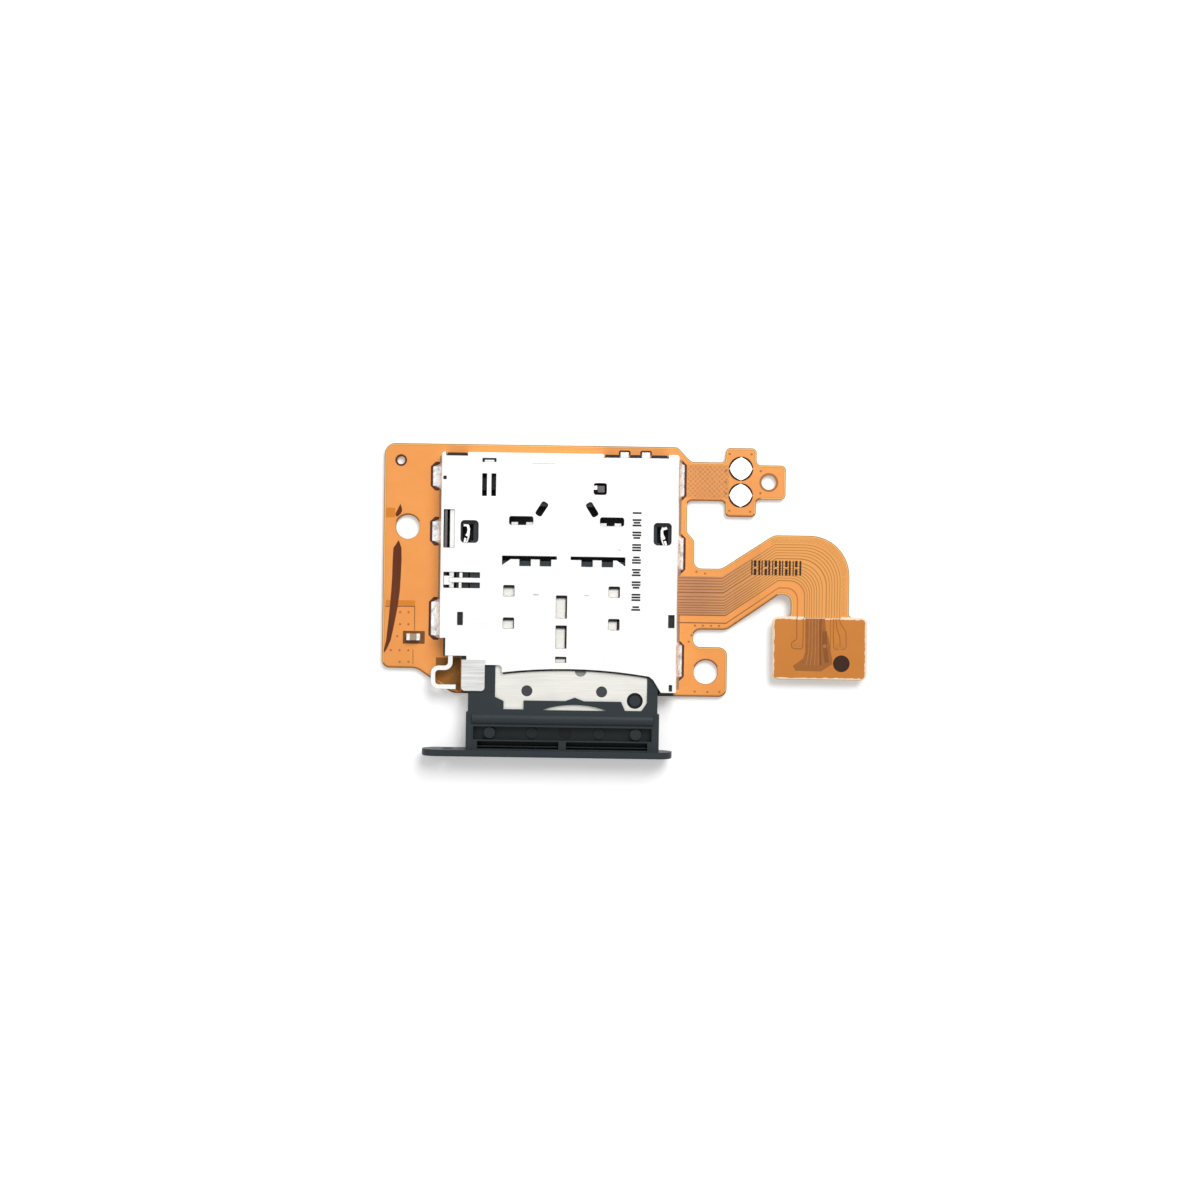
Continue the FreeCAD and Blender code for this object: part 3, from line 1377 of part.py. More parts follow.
def make_tray():
    """The tray moulding: rails and bars, card pockets, front block with its rib, and the door."""
    body = new_body("tray_frame")
    rails = box_corners(tray_left, -d.block_wide_rear, tray_right, d.tray_rear)
    pad_box(body, "rails", rails, tray_bottom, tray_top)
    round_corners(body, "rear_round", rails[2:], d.tray_rear_round)
    lip = box_corners(tray_left, -d.block_wide_rear, tray_right, -d.block_rear)
    pad_box(body, "lip", lip, tray_top, block_top)
    half = block_width / 2
    block = box_corners(d.tray_axis - half, -d.block_front, d.tray_axis + half, -d.block_wide_rear)
    pad_box(body, "block", block, d.block_underside, block_top)
    make_door(body)
    cut_card_pockets(body)
    cut_box(body, "plate_seat", plate_corners(), plate_bottom, plate_top)
    cut_opening(body)
    dress_block(body)


def make_door(body):
    """The long door in front of the block, with the pin hole of the ejector."""
    top = d.door_underside + d.door_height
    half = d.tray_width / 2 + d.door_overhang
    left, right = -d.door_axis - half, half - d.door_axis
    front = new_sketch(body, "door", "XZ_Plane", d.block_front)
    corners = box_corners(left, d.door_underside, right, top)
    draw(front, corners)
    pad(body, front, d.door_thickness)
    ends = []
    for index, edge in enumerate(body.Tip.Shape.Edges, start=1):
        box = edge.BoundBox
        upright = box.XLength < 1e-6 and box.ZLength < 1e-6
        if upright and any(math.dist((box.XMin, box.ZMin), (x.value, z.value)) < 1e-5 for x, z in corners):
            ends.append(f"Edge{index}")
    round_edges(body, "door_ends", ends, d.door_corner)
    face = -(d.block_front + d.door_thickness)
    rim = [f"Edge{index}" for index, edge in enumerate(body.Tip.Shape.Edges, start=1)
           if abs(edge.BoundBox.YMax - face.value) < 1e-6]
    round_edges(body, "door_rim", rim, d.door_edge_round)
    hole = new_sketch(body, "pin_hole", "XZ_Plane", d.block_front)
    bar_middle = base_top + d.rod_floor_gap + d.rod_height / 2
    draw_circle(hole, (-pin_hole_line, bar_middle), d.pin_hole_diameter)
    pocket(body, hole, d.door_thickness)


def cut_card_pockets(body):
    """The card pockets from below, the open rear of the frame and the notches for the latches."""
    left, right = tray_left + d.sim_rail, tray_right - d.sim_rail
    front, rear = d.sim_pocket_rear - d.sim_pocket_length, d.sim_pocket_rear
    cut = d.sim_corner_cut
    card = [(left, front), (right, front), (right, rear - cut), (right - cut, rear), (left, rear)]
    cut_box(body, "sim_pocket", card, tray_bottom, plate_bottom)
    inner_rear = d.tray_rear - d.tray_rear_bar
    sides = (tray_left + d.wide_left_rail, tray_right - d.wide_right_rail)
    wide_card = box_corners(sides[0], inner_rear - d.wide_pocket_length, sides[1], inner_rear)
    cut_box(body, "wide_pocket", wide_card, tray_bottom, plate_bottom)
    bar = d.sim_pocket_rear + d.tray_cross_bar
    cut_box(body, "rear_window", box_corners(sides[0], bar, sides[1], inner_rear), plate_bottom, tray_top)
    for name, start, end in (("left", tray_left, tray_left + d.tray_notch_depth),
                             ("right", tray_right - d.tray_notch_depth, tray_right)):
        notch = about((start + end) / 2, d.latch_row, d.tray_notch_depth, d.tray_notch_length)
        cut_box(body, f"latch_notch_{name}", notch, tray_bottom, tray_top)


def cut_opening(body):
    """The opening above the plate and the lens-shaped window in front of it."""
    sketch = new_sketch(body, "opening", lift=plate_top)
    draw(sketch, opening_corners())
    half = d.lens_length / 2
    lens = [(d.lens_axis - half, -d.lens_front), (d.lens_axis + half, -d.lens_front)]
    radius = half * half / (d.lens_height * 2) + d.lens_height / 2
    draw(sketch, lens, {1: radius})
    pocket(body, sketch, block_top - plate_top)


def dress_block(body):
    """The block's rounded rib, its recess with pins, marks and the gate, and the two relief slots."""
    rib = new_sketch(body, "rib", "YZ_Plane", d.tray_axis - rib_length / 2)
    half = d.rib_half_width
    radius = half * half / (d.rib_height * 2) + d.rib_height / 2
    draw(rib, [(half - d.rib_row, block_top), (-half - d.rib_row, block_top)], {0: radius})
    pad(body, rib, rib_length)
    left, right = d.tray_axis - recess_length / 2, d.tray_axis + recess_length / 2
    recess = box_corners(left, -d.recess_front, right, -d.recess_rear)
    cut_box(body, "recess", recess, block_top - d.recess_depth, block_top)
    recess_floor = block_top - d.recess_depth
    for name, lines, height in (("marks", (-d.mark_left, d.mark_right), d.mark_height),
                                ("pins", (left + d.pin_left_gap, right - d.pin_right_gap), d.pin_height)):
        rounds = new_sketch(body, name, lift=recess_floor)
        for line in lines:
            draw_circle(rounds, (line, -d.mark_row), d.mark_diameter)
        pad(body, rounds, height)
    cut_round(body, "gate", [(d.gate_line, -d.mark_row)], d.gate_diameter,
              recess_floor - d.gate_depth, recess_floor)
    slot_floor = block_top - d.relief_slot_depth
    slots = new_sketch(body, "relief_slots", lift=slot_floor)
    ribs = new_sketch(body, "slot_ribs", lift=slot_floor)
    for side in (-1, 1):
        line = d.tray_axis + (relief_slot_length + d.relief_slot_web) / 2 * side
        draw_box(slots, (line, -d.relief_slot_row), relief_slot_length, d.relief_slot_width)
        draw_box(ribs, (line, -d.slot_rib_row), relief_slot_length, d.slot_rib_width)
    pocket(body, slots, d.relief_slot_depth)
    pad(body, ribs, d.slot_rib_height)


def write_pieces():
    """Checks every object and piece, then writes one file per piece."""
    doc.recompute()
    for item in doc.Objects:
        if "Invalid" in item.State or "Error" in item.State:
            raise RuntimeError(f"{item.Label} failed: {item.State}")
    for piece in pieces:
        if piece.Shape.isNull() or not piece.Shape.isValid():
            raise RuntimeError(f"{piece.Label} has no valid shape")
    os.makedirs("parts", exist_ok=True)
    for piece in pieces:
        piece.Shape.exportStep(f"parts/{piece.Label}.step")


make_flex()
make_stiffeners()
make_connector()
make_base()
make_contacts()
make_detect_switch()
make_latches()
make_shell()
make_solder()
make_capacitor()
make_push_rod()
make_lever()
make_tray_plate()
make_tray()
write_pieces()
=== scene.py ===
"""Looks of the SIM card reader: printed copper, solder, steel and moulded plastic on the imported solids."""

import logging
import math
from dataclasses import dataclass
from enum import Enum
from typing import Iterable, Sequence

import bmesh
import bpy
from mathutils import Matrix, Vector


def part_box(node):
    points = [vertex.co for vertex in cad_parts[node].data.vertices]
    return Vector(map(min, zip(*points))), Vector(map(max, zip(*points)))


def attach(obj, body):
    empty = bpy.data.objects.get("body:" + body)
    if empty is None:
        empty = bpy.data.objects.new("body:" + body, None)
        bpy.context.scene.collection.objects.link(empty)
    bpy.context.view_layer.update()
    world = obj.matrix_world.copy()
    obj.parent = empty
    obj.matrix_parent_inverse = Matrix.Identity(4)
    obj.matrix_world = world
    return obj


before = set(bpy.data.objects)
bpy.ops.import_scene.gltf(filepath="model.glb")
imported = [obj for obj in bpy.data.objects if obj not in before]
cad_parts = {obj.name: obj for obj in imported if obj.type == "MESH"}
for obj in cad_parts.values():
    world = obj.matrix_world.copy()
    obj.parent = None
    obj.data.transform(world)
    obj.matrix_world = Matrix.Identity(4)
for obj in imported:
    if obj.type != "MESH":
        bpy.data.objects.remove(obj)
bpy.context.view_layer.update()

MM = 0.001
WELD = 1e-6
SLICE = 1e-5
WHITE = (1.0, 1.0, 1.0, 1.0)
# Parts of a noise's range over which broad patches and fine specks go from nothing to full.
PATCHES = (0.3, 0.7)
SPECKS = (0.35, 0.7)
Point = tuple[float, float]
Line = tuple[Point, Point]  # two ends
Box = tuple[Point, Point]  # middle and half size
Colour = tuple[float, float, float]
Mesh = bmesh.types.BMesh
Node = bpy.types.Node
Socket = bpy.types.NodeSocket
LOG = logging.getLogger("sim_card_reader")


class Body(Enum):
    """Rigid bodies that new pieces ride on."""

    READER = "reader"
    TRAY = "tray"


class Slot(Enum):
    """Names of the record's material slots; the new pieces here are not given any."""

    FLEX = "flex_film"
    FILM = "cover_film"
    TIN = "tin"
    SHELL = "shell_steel"
    INSULATOR = "insulator_plastic"
    SPRING = "spring_steel"
    TRAY = "tray_plastic"
    PLATE = "plate_steel"


class Grain(Enum):
    """Direction in which a finish is drawn out."""

    EVEN = (1.0, 1.0, 1.0)
    ALONG_X = (0.04, 1.0, 1.0)
    ALONG_Y = (1.0, 0.04, 1.0)


class NodeDesk:
    """Places and links the nodes of one material, world or node group."""

    def __init__(self, tree: bpy.types.NodeTree) -> None:
        """Takes the tree to work on.

        Args:
            tree: Node tree of a material, world or group.
        """
        self.tree = tree

    def add(self, kind: str, settings: dict | None = None, **inputs: object) -> Node:
        """Adds a node.

        Args:
            kind: Node type name.
            settings: Properties of the node itself.
            inputs: Values or sockets by input name, with _ for a space.

        Returns:
            The new node.
        """
        node = self.tree.nodes.new(kind)
        for name, value in (settings or {}).items():
            setattr(node, name, value)
        self.wire(node, **inputs)
        return node

    def wire(self, node: Node, **inputs: object) -> None:
        """Feeds a node's inputs.

        Args:
            node: Node to feed.
            inputs: Values or sockets by input name, with _ for a space.
        """
        for name, value in inputs.items():
            self.feed(node.inputs[name.replace("_", " ")], value)

    def feed(self, socket: Socket, value: object) -> None:
        """Links a socket into an input, or sets a plain value on it.

        Args:
            socket: Input to feed.
            value: Another node's output, or a value.
        """
        if isinstance(value, Socket):
            self.tree.links.new(value, socket)
        elif socket.type == "RGBA" and len(value) == 3:
            socket.default_value = (*value, 1.0)
        else:
            socket.default_value = value

    def sum(self, operation: str, *values: object, clamp: bool = False) -> Socket:
        """Adds a Math node.

        Args:
            operation: Its operation.
            values: Its operands, sockets or numbers.
            clamp: Whether to hold the result between 0 and 1.

        Returns:
            The result socket.
        """
        node = self.add("ShaderNodeMath", {"operation": operation, "use_clamp": clamp})
        for socket, value in zip(node.inputs, values):
            self.feed(socket, value)
        return node.outputs[0]

    def vector(self, operation: str, *values: object, out: str = "Vector") -> Socket:
        """Adds a Vector Math node.

        Args:
            operation: Its operation.
            values: Its operands, sockets or vectors.
            out: Name of the result socket.

        Returns:
            The result socket.
        """
        node = self.add("ShaderNodeVectorMath", {"operation": operation})
        for socket, value in zip(node.inputs, values):
            self.feed(socket, value)
        return node.outputs[out]

    def split(self, vector: Socket) -> tuple[Socket, ...]:
        """Parts of a vector along X, Y and Z."""
        return tuple(self.add("ShaderNodeSeparateXYZ", Vector=vector).outputs)

    def mix(self, share: object, first: object, second: object) -> Socket:
        """Mixes two colours.

        Args:
            share: How much of the second colour shows.
            first: Colour or socket.
            second: Colour or socket.

        Returns:
            The mixed colour.
        """
        node = self.add("ShaderNodeMix", {"data_type": "RGBA"})
        for index, value in ((0, share), (6, first), (7, second)):
            self.feed(node.inputs[index], value)
        return node.outputs[2]

    def ramp(self, value: object, low: float, high: float, start: float, end: float) -> Socket:
        """Maps a value from one range to another, held at both ends.

        Args:
            value: Socket to map.
            low: Start of its range.
            high: End of its range.
            start: Result at low.
            end: Result at high.

        Returns:
            The mapped value.
        """
        node = self.add("ShaderNodeMapRange", Value=value, From_Min=low, From_Max=high, To_Min=start,
                        To_Max=end)
        return node.outputs[0]

    def place(self) -> Socket:
        """Object coordinates in millimetres."""
        scale = self.add("ShaderNodeVectorMath", {"operation": "SCALE"}, Scale=1.0 / MM)
        self.feed(scale.inputs[0], self.add("ShaderNodeTexCoord").outputs["Object"])
        return scale.outputs[0]

    def seen(self) -> Socket:
        """Mask of the rays by which the camera, bright metal or a clear piece sees a surface."""
        paths = self.add("ShaderNodeLightPath").outputs
        direct = self.sum("MAXIMUM", paths["Is Camera Ray"], paths["Is Glossy Ray"])
        return self.sum("MAXIMUM", direct, paths["Is Transmission Ray"])

    def group(self, tree: bpy.types.NodeTree, **inputs: object) -> Node:
        """Places a shared node group.

        Args:
            tree: The group.
            inputs: Values or sockets by input name, with _ for a space.

        Returns:
            The group node.
        """
        return self.add("ShaderNodeGroup", {"node_tree": tree}, **inputs)


class Effects:
    """Node groups that several finishes share."""

    def __init__(self) -> None:
        """Builds every group once."""
        self.grain = self._grain()
        self.box = self._box()
        self.hatch = self._hatch()

    @staticmethod
    def _start(name: str, vectors: Sequence[str], values: Sequence[str],
               outputs: Sequence[str]) -> tuple[NodeDesk, dict[str, Socket], dict[str, Socket]]:
        """Opens a group with its sockets.

        Args:
            name: Group name.
            vectors: Names of the vectors that it takes.
            values: Names of the numbers that it takes.
            outputs: Names of the numbers that it puts out.

        Returns:
            The desk, the input sockets and the output sockets by name.
        """
        tree = bpy.data.node_groups.new(name, "ShaderNodeTree")
        for way, kind, labels in (("INPUT", "NodeSocketVector", vectors),
                                  ("INPUT", "NodeSocketFloat", values),
                                  ("OUTPUT", "NodeSocketFloat", outputs)):
            for label in labels:
                tree.interface.new_socket(label, in_out=way, socket_type=kind)
        desk = NodeDesk(tree)
        source = desk.add("NodeGroupInput").outputs
        sink = desk.add("NodeGroupOutput").inputs
        return desk, {s.name: s for s in source if s.name}, {s.name: s for s in sink if s.name}

    def _grain(self) -> bpy.types.NodeTree:
        """Fine grain drawn out along an axis, with broad patches beside it."""
        desk, given, out = self._start("surface_grain", ["Place", "Stretch"], ["Scale"], ["Fine", "Broad"])
        drawn = desk.vector("MULTIPLY", given["Place"], given["Stretch"])
        fine = desk.add("ShaderNodeTexNoise", Vector=drawn, Scale=given["Scale"], Detail=4.0, Roughness=0.6)
        broad = desk.add("ShaderNodeTexNoise", Vector=given["Place"], Scale=0.45, Detail=3.0, Roughness=0.5)
        desk.feed(out["Fine"], fine.outputs["Fac"])
        desk.feed(out["Broad"], broad.outputs["Fac"])
        return desk.tree

    def _box(self) -> bpy.types.NodeTree:
        """Mask of an upright box in plan, with a soft edge."""
        desk, given, out = self._start("plan_box", ["Place", "Middle", "Half"], ["Edge"], ["Mask", "Depth"])
        away = desk.vector("ABSOLUTE", desk.vector("SUBTRACT", given["Place"], given["Middle"]))
        inside = desk.split(desk.vector("SUBTRACT", given["Half"], away))
        depth = desk.sum("MINIMUM", *inside[:2])
        desk.feed(out["Depth"], depth)
        desk.feed(out["Mask"], desk.sum("DIVIDE", depth, given["Edge"], clamp=True))
        return desk.tree

    def _hatch(self) -> bpy.types.NodeTree:
        """Two sets of slanting lines that cross."""
        desk, given, out = self._start("crossed_lines", ["Place"], ["Pitch", "Share"], ["Lines"])
        across, along, _ = desk.split(given["Place"])
        found = []
        for operation in ("ADD", "SUBTRACT"):
            slant = desk.sum(operation, across, along)
            wave = desk.sum("PINGPONG", desk.sum("DIVIDE", slant, given["Pitch"]), 0.5)
            found.append(desk.sum("LESS_THAN", wave, given["Share"]))
        desk.feed(out["Lines"], desk.sum("MAXIMUM", *found))
        return desk.tree


EFFECTS = Effects()


def begin(name: str) -> tuple[bpy.types.Material, NodeDesk, Node, Socket]:
    """Starts a material.

    Args:
        name: Its name.

    Returns:
        The material, its desk, its principled shader and the place on the piece in millimetres.
    """
    material = bpy.data.materials.new(name)
    material.use_nodes = True
    desk = NodeDesk(material.node_tree)
    return material, desk, material.node_tree.nodes["Principled BSDF"], desk.place()


def grain_over(desk: NodeDesk, place: Socket, grain: Grain, scale: float) -> tuple[Socket, Socket]:
    """Places the shared grain.

    Args:
        desk: Desk of the material.
        place: Place on the piece in millimetres.
        grain: Direction in which it is drawn out.
        scale: Its fineness.

    Returns:
        The fine grain and the broad patches.
    """
    node = desk.group(EFFECTS.grain, Place=place, Stretch=grain.value, Scale=scale)
    return node.outputs["Fine"], node.outputs["Broad"]


def plan_box(desk: NodeDesk, place: Socket, box: Box, edge: float) -> Node:
    """Places the shared mask of an upright box.

    Args:
        desk: Desk of the material.
        place: Place on the piece in millimetres.
        box: Middle and half size of the box in plan.
        edge: Width of its soft edge.

    Returns:
        The group node.
    """
    middle, half = box
    return desk.group(EFFECTS.box, Place=place, Middle=(*middle, 0.0), Half=(*half, 0.0), Edge=edge)


def relief(desk: NodeDesk, height: Socket, depth: float, edge: float = 0.0) -> Socket:
    """Bump from a height, over softened edges where a radius is given.

    Args:
        desk: Desk of the material.
        height: Height pattern.
        depth: Its depth in millimetres.
        edge: Radius of the softened edges in millimetres.

    Returns:
        The normal.
    """
    bump = desk.add("ShaderNodeBump", Strength=1.0, Distance=depth * MM, Height=height)
    if edge:
        soft = desk.add("ShaderNodeBevel", {"samples": 4}, Radius=edge * MM)
        desk.wire(bump, Normal=soft.outputs[0])
    return bump.outputs[0]


def steep(desk: NodeDesk) -> Socket:
    """Mask of the faces that stand upright.

    Args:
        desk: Desk of the material.

    Returns:
        The mask.
    """
    upward = desk.split(desk.add("ShaderNodeNewGeometry").outputs["Normal"])[2]
    return desk.ramp(desk.sum("ABSOLUTE", upward), 0.3, 0.8, 1.0, 0.0)


def edge_shade_mask(desk: NodeDesk, width: float) -> Socket:
    """Mask of a narrow strip along every edge, where painted shade darkens the metal.

    Args:
        desk: Desk of the material.
        width: Its width in millimetres.

    Returns:
        The mask.
    """
    soft = desk.add("ShaderNodeBevel", {"samples": 8}, Radius=width * MM).outputs[0]
    flat = desk.add("ShaderNodeNewGeometry").outputs["True Normal"]
    return desk.ramp(desk.vector("DOT_PRODUCT", soft, flat, out="Value"), 0.86, 0.995, 1.0, 0.0)


@dataclass(frozen=True)
class SteelFinish:
    """Bright rolled, plated or brushed metal, with painted shade along its edges where given."""

    name: str
    tint: Colour
    dark: Colour
    roughness: float
    grain: Grain = Grain.EVEN
    scale: float = 14.0
    depth: float = 0.0012
    edge: float = 0.025
    # Box painted with a streaked darker tint, a painted reflection of darker surroundings on a part that
    # faces another way.
    patch: Box | None = None
    patch_tint: Colour = (0.5, 0.5, 0.48)
    # Width of a strip of painted shade along every edge, standing in for the dark reflection in rolled edges;
    # none at zero.
    rolled: float = 0.0
    edge_shade_tint: Colour = (0.12, 0.12, 0.125)
    metallic: float = 1.0

    def material(self) -> bpy.types.Material:
        """Builds the finish.

        Returns:
            The material.
        """
        material, desk, shader, place = begin(self.name)
        fine, broad = grain_over(desk, place, self.grain, self.scale)
        colour = desk.mix(desk.ramp(fine, *SPECKS, 0.0, 1.0), self.dark, self.tint)
        # Painted darker reflection, streaked along X, inside the patch box.
        if self.patch:
            streaks, _ = grain_over(desk, place, Grain.ALONG_X, 5.0)
            wear_and_painted_reflection = desk.mix(streaks, self.patch_tint, self.tint)
            colour = desk.mix(plan_box(desk, place, self.patch, 0.06).outputs["Mask"], colour, wear_and_painted_reflection)
        # Painted shade: a strip along every edge darkened to the edge tint.
        if self.rolled:
            colour = desk.mix(edge_shade_mask(desk, self.rolled), colour, self.edge_shade_tint)
        rough = desk.ramp(broad, *PATCHES, self.roughness * 0.8, self.roughness * 1.25)
        desk.wire(shader, Base_Color=colour, Roughness=rough, Metallic=self.metallic,
                  Normal=relief(desk, fine, self.depth, self.edge))
        return material


@dataclass(frozen=True)
class PlasticFinish:
    """Moulded or fired material with a fine satin surface, with painted shade deep down in a well."""

    name: str
    tint: Colour
    pale: Colour
    roughness: float
    scale: float = 26.0
    depth: float = 0.004
    edge: float = 0.04
    sheen: float = 0.2
    # Box of a recess painted darker with depth as shade, from the lower to the upper height of well_span.
    well: Box | None = None
    well_span: Point = (0.9, 2.0)
    well_shade_tint: Colour = (0.002, 0.003, 0.0035)

    def material(self) -> bpy.types.Material:
        """Builds the finish.

        Returns:
            The material.
        """
        material, desk, shader, place = begin(self.name)
        fine, broad = grain_over(desk, place, Grain.EVEN, self.scale)
        speck = desk.ramp(fine, 0.4, 0.75, 0.0, 0.55)
        shade = desk.sum("MULTIPLY", broad, 0.6)
        colour = desk.mix(desk.sum("ADD", speck, shade, clamp=True), self.tint, self.pale)
        # Painted shade: darker the deeper the face lies inside the well's box.
        if self.well:
            inside = plan_box(desk, place, self.well, 0.02).outputs["Mask"]
            depth = desk.ramp(desk.split(place)[2], *self.well_span, 1.0, 0.0)
            colour = desk.mix(desk.sum("MULTIPLY", inside, depth), colour, self.well_shade_tint)
        rough = desk.ramp(fine, *PATCHES, self.roughness * 0.85, self.roughness * 1.15)
        desk.wire(shader, Base_Color=colour, Roughness=rough, Specular_IOR_Level=self.sheen,
                  Normal=relief(desk, fine, self.depth, self.edge))
        return material


@dataclass(frozen=True)
class FilmFinish:
    """Amber film over copper: colour that varies in broad patches, darker on cut edges, partly as painted
    shade.
    """

    name: str
    tint: Colour
    deep: Colour
    cut: Colour
    roughness: float = 0.34
    depth: float = 0.016
    hatched: tuple[tuple[Box, Colour], ...] = ()
    hatch_ring: tuple[Point, float, float, Colour] | None = None
    hatch_pitch: float = 0.36
    hatch_share: float = 0.13
    pale_rim: Box | None = None
    rim_tint: Colour = (0.82, 0.74, 0.62)
    rim_width: float = 0.22
    sheen: float = 0.35

    def material(self) -> bpy.types.Material:
        """Builds the finish.

        Returns:
            The material.
        """
        material, desk, shader, place = begin(self.name)
        fine, broad = grain_over(desk, place, Grain.EVEN, 7.0)
        colour = desk.mix(desk.ramp(broad, *PATCHES, 0.0, 1.0), self.tint, self.deep)
        colour = desk.mix(desk.ramp(fine, 0.45, 0.8, 0.0, 0.25), colour, self.deep)
        masks = [(plan_box(desk, place, box, 0.12).outputs["Mask"], tint) for box, tint in self.hatched]
        if self.hatch_ring:
            masks.append((self._ring_mask(desk, place), self.hatch_ring[3]))
        for mask, tint in masks:
            lines = desk.group(EFFECTS.hatch, Place=place, Pitch=self.hatch_pitch, Share=self.hatch_share)
            open_mesh = desk.sum("SUBTRACT", 1.0, desk.sum("MULTIPLY", lines.outputs["Lines"], 0.7))
            blotch = desk.ramp(fine, *SPECKS, 0.45, 1.0)
            drawn = desk.sum("MULTIPLY", desk.sum("MULTIPLY", open_mesh, blotch), mask)
            colour = desk.mix(drawn, colour, tint)
        if self.pale_rim:
            colour = self._rim(desk, place, colour)
        # Upright cut faces take the cut colour: on the amber film and stiffener a dark brown that is partly
        # the edge's own colour and partly painted shade.
        colour = desk.mix(steep(desk), colour, self.cut)
        rough = desk.ramp(fine, *PATCHES, self.roughness * 0.8, self.roughness * 1.2)
        desk.wire(shader, Base_Color=colour, Roughness=rough, Specular_IOR_Level=self.sheen,
                  Normal=relief(desk, broad, self.depth))
        return material

    def _ring_mask(self, desk: NodeDesk, place: Socket) -> Socket:
        """Mask of the hatched band along the ribbon's outer bend.

        Args:
            desk: Desk of the material.
            place: Place on the piece in millimetres.

        Returns:
            The mask.
        """
        middle, inner, outer, _ = self.hatch_ring
        across, along, _ = desk.split(desk.vector("SUBTRACT", place, (*middle, 0.0)))
        squares = [desk.sum("MULTIPLY", part, part) for part in (across, along)]
        radius = desk.sum("SQRT", desk.sum("ADD", *squares))
        mask = desk.sum("LESS_THAN", radius, outer)
        for part, least in ((radius, inner), (across, 0.0), (along, 0.0)):
            mask = desk.sum("MULTIPLY", mask, desk.sum("GREATER_THAN", part, least))
        return mask

    def _rim(self, desk: NodeDesk, place: Socket, colour: Socket) -> Socket:
        """Pale ragged rim of a cut film.

        Args:
            desk: Desk of the material.
            place: Place on the piece in millimetres.
            colour: Colour inside the rim.

        Returns:
            The colour with the rim.
        """
        depth = plan_box(desk, place, self.pale_rim, 1.0).outputs["Depth"]
        ragged = desk.add("ShaderNodeTexNoise", Vector=place, Scale=2.6, Detail=3.0)
        wander = desk.ramp(ragged.outputs["Fac"], 0.35, 0.65, 0.45, 1.0)
        near = desk.sum("LESS_THAN", depth, desk.sum("MULTIPLY", wander, self.rim_width))
        pale = desk.sum("MULTIPLY", near, desk.sum("GREATER_THAN", depth, -0.02))
        return desk.mix(desk.sum("MULTIPLY", pale, 0.8), colour, self.rim_tint)


@dataclass(frozen=True)
class PrintFinish:
    """Thin printed, etched or inked marks, with another tint farther along where one is given."""

    name: str
    tint: Colour
    pale: Colour
    roughness: float = 0.4
    grain: Grain = Grain.EVEN
    scale: float = 6.0
    far: Colour | None = None
    fade: Point = (12.2, 17.0)
    sheen: float = 0.12

    def material(self) -> bpy.types.Material:
        """Builds the finish.

        Returns:
            The material.
        """
        material, desk, shader, place = begin(self.name)
        fine, broad = grain_over(desk, place, self.grain, self.scale)
        share = desk.sum("MULTIPLY", desk.ramp(fine, 0.35, 0.75, 0.0, 1.0), 0.8)
        colour = desk.mix(share, self.tint, self.pale)
        if self.far:
            colour = desk.mix(desk.ramp(desk.split(place)[0], *self.fade, 0.0, 1.0), colour, self.far)
        rough = desk.ramp(broad, *PATCHES, self.roughness * 0.8, self.roughness * 1.2)
        desk.wire(shader, Base_Color=colour, Roughness=rough, Specular_IOR_Level=self.sheen)
        return material


@dataclass(frozen=True)
class SolderFinish:
    """Reflowed tin: bright, with frosted grains and soft lumps."""

    name: str
    tint: Colour = (0.93, 0.93, 0.92)
    dull: Colour = (0.58, 0.58, 0.58)
    roughness: Point = (0.16, 0.48)
    metallic: float = 0.55

    def material(self) -> bpy.types.Material:
        """Builds the finish.

        Returns:
            The material.
        """
        material, desk, shader, place = begin(self.name)
        fine, _ = grain_over(desk, place, Grain.EVEN, 4.0)
        lumps = desk.add("ShaderNodeTexNoise", Vector=place, Scale=2.2, Detail=2.0).outputs["Fac"]
        colour = desk.mix(desk.ramp(lumps, 0.5, 0.66, 0.0, 1.0), self.tint, self.dull)
        desk.wire(shader, Base_Color=colour, Roughness=desk.ramp(fine, *PATCHES, *self.roughness),
                  Metallic=self.metallic, Normal=relief(desk, lumps, 0.08, 0.05))
        return material


Finish = SteelFinish | PlasticFinish | FilmFinish | PrintFinish | SolderFinish


def dress(nodes: Iterable[str], finish: Finish) -> None:
    """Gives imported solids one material.

    Args:
        nodes: Names of the solids.
        finish: Their finish.
    """
    material = finish.material()
    for name in nodes:
        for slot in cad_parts[name].material_slots:
            slot.material = material
        LOG.info("dressed %s with %s", name, material.name)


def nodes_named(*starts: str) -> list[str]:
    """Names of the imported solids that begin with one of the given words."""
    return [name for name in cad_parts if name.startswith(starts)]


def plan_of(node: str) -> tuple[Vector, Vector]:
    """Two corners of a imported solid's box in millimetres."""
    low, high = (Vector(corner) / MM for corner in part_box(node))
    return low, high


def settle(bm: Mesh, name: str, finish: Finish, body: Body) -> None:
    """Makes a finished piece from a bmesh in millimetres and hangs it on its body.

    Args:
        bm: The shape, which is freed.
        name: Piece name.
        finish: Its finish.
        body: Body that it moves with.
    """
    bmesh.ops.remove_doubles(bm, verts=bm.verts, dist=WELD)
    bmesh.ops.recalc_face_normals(bm, faces=bm.faces)
    bmesh.ops.scale(bm, vec=(MM, MM, MM), verts=bm.verts)
    mesh = bpy.data.meshes.new(name)
    bm.to_mesh(mesh)
    bm.free()
    mesh.materials.append(finish.material())
    piece = bpy.data.objects.new(name, mesh)
    bpy.context.scene.collection.objects.link(piece)
    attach(piece, body.value)
    LOG.info("built %s, %d faces", name, len(mesh.polygons))


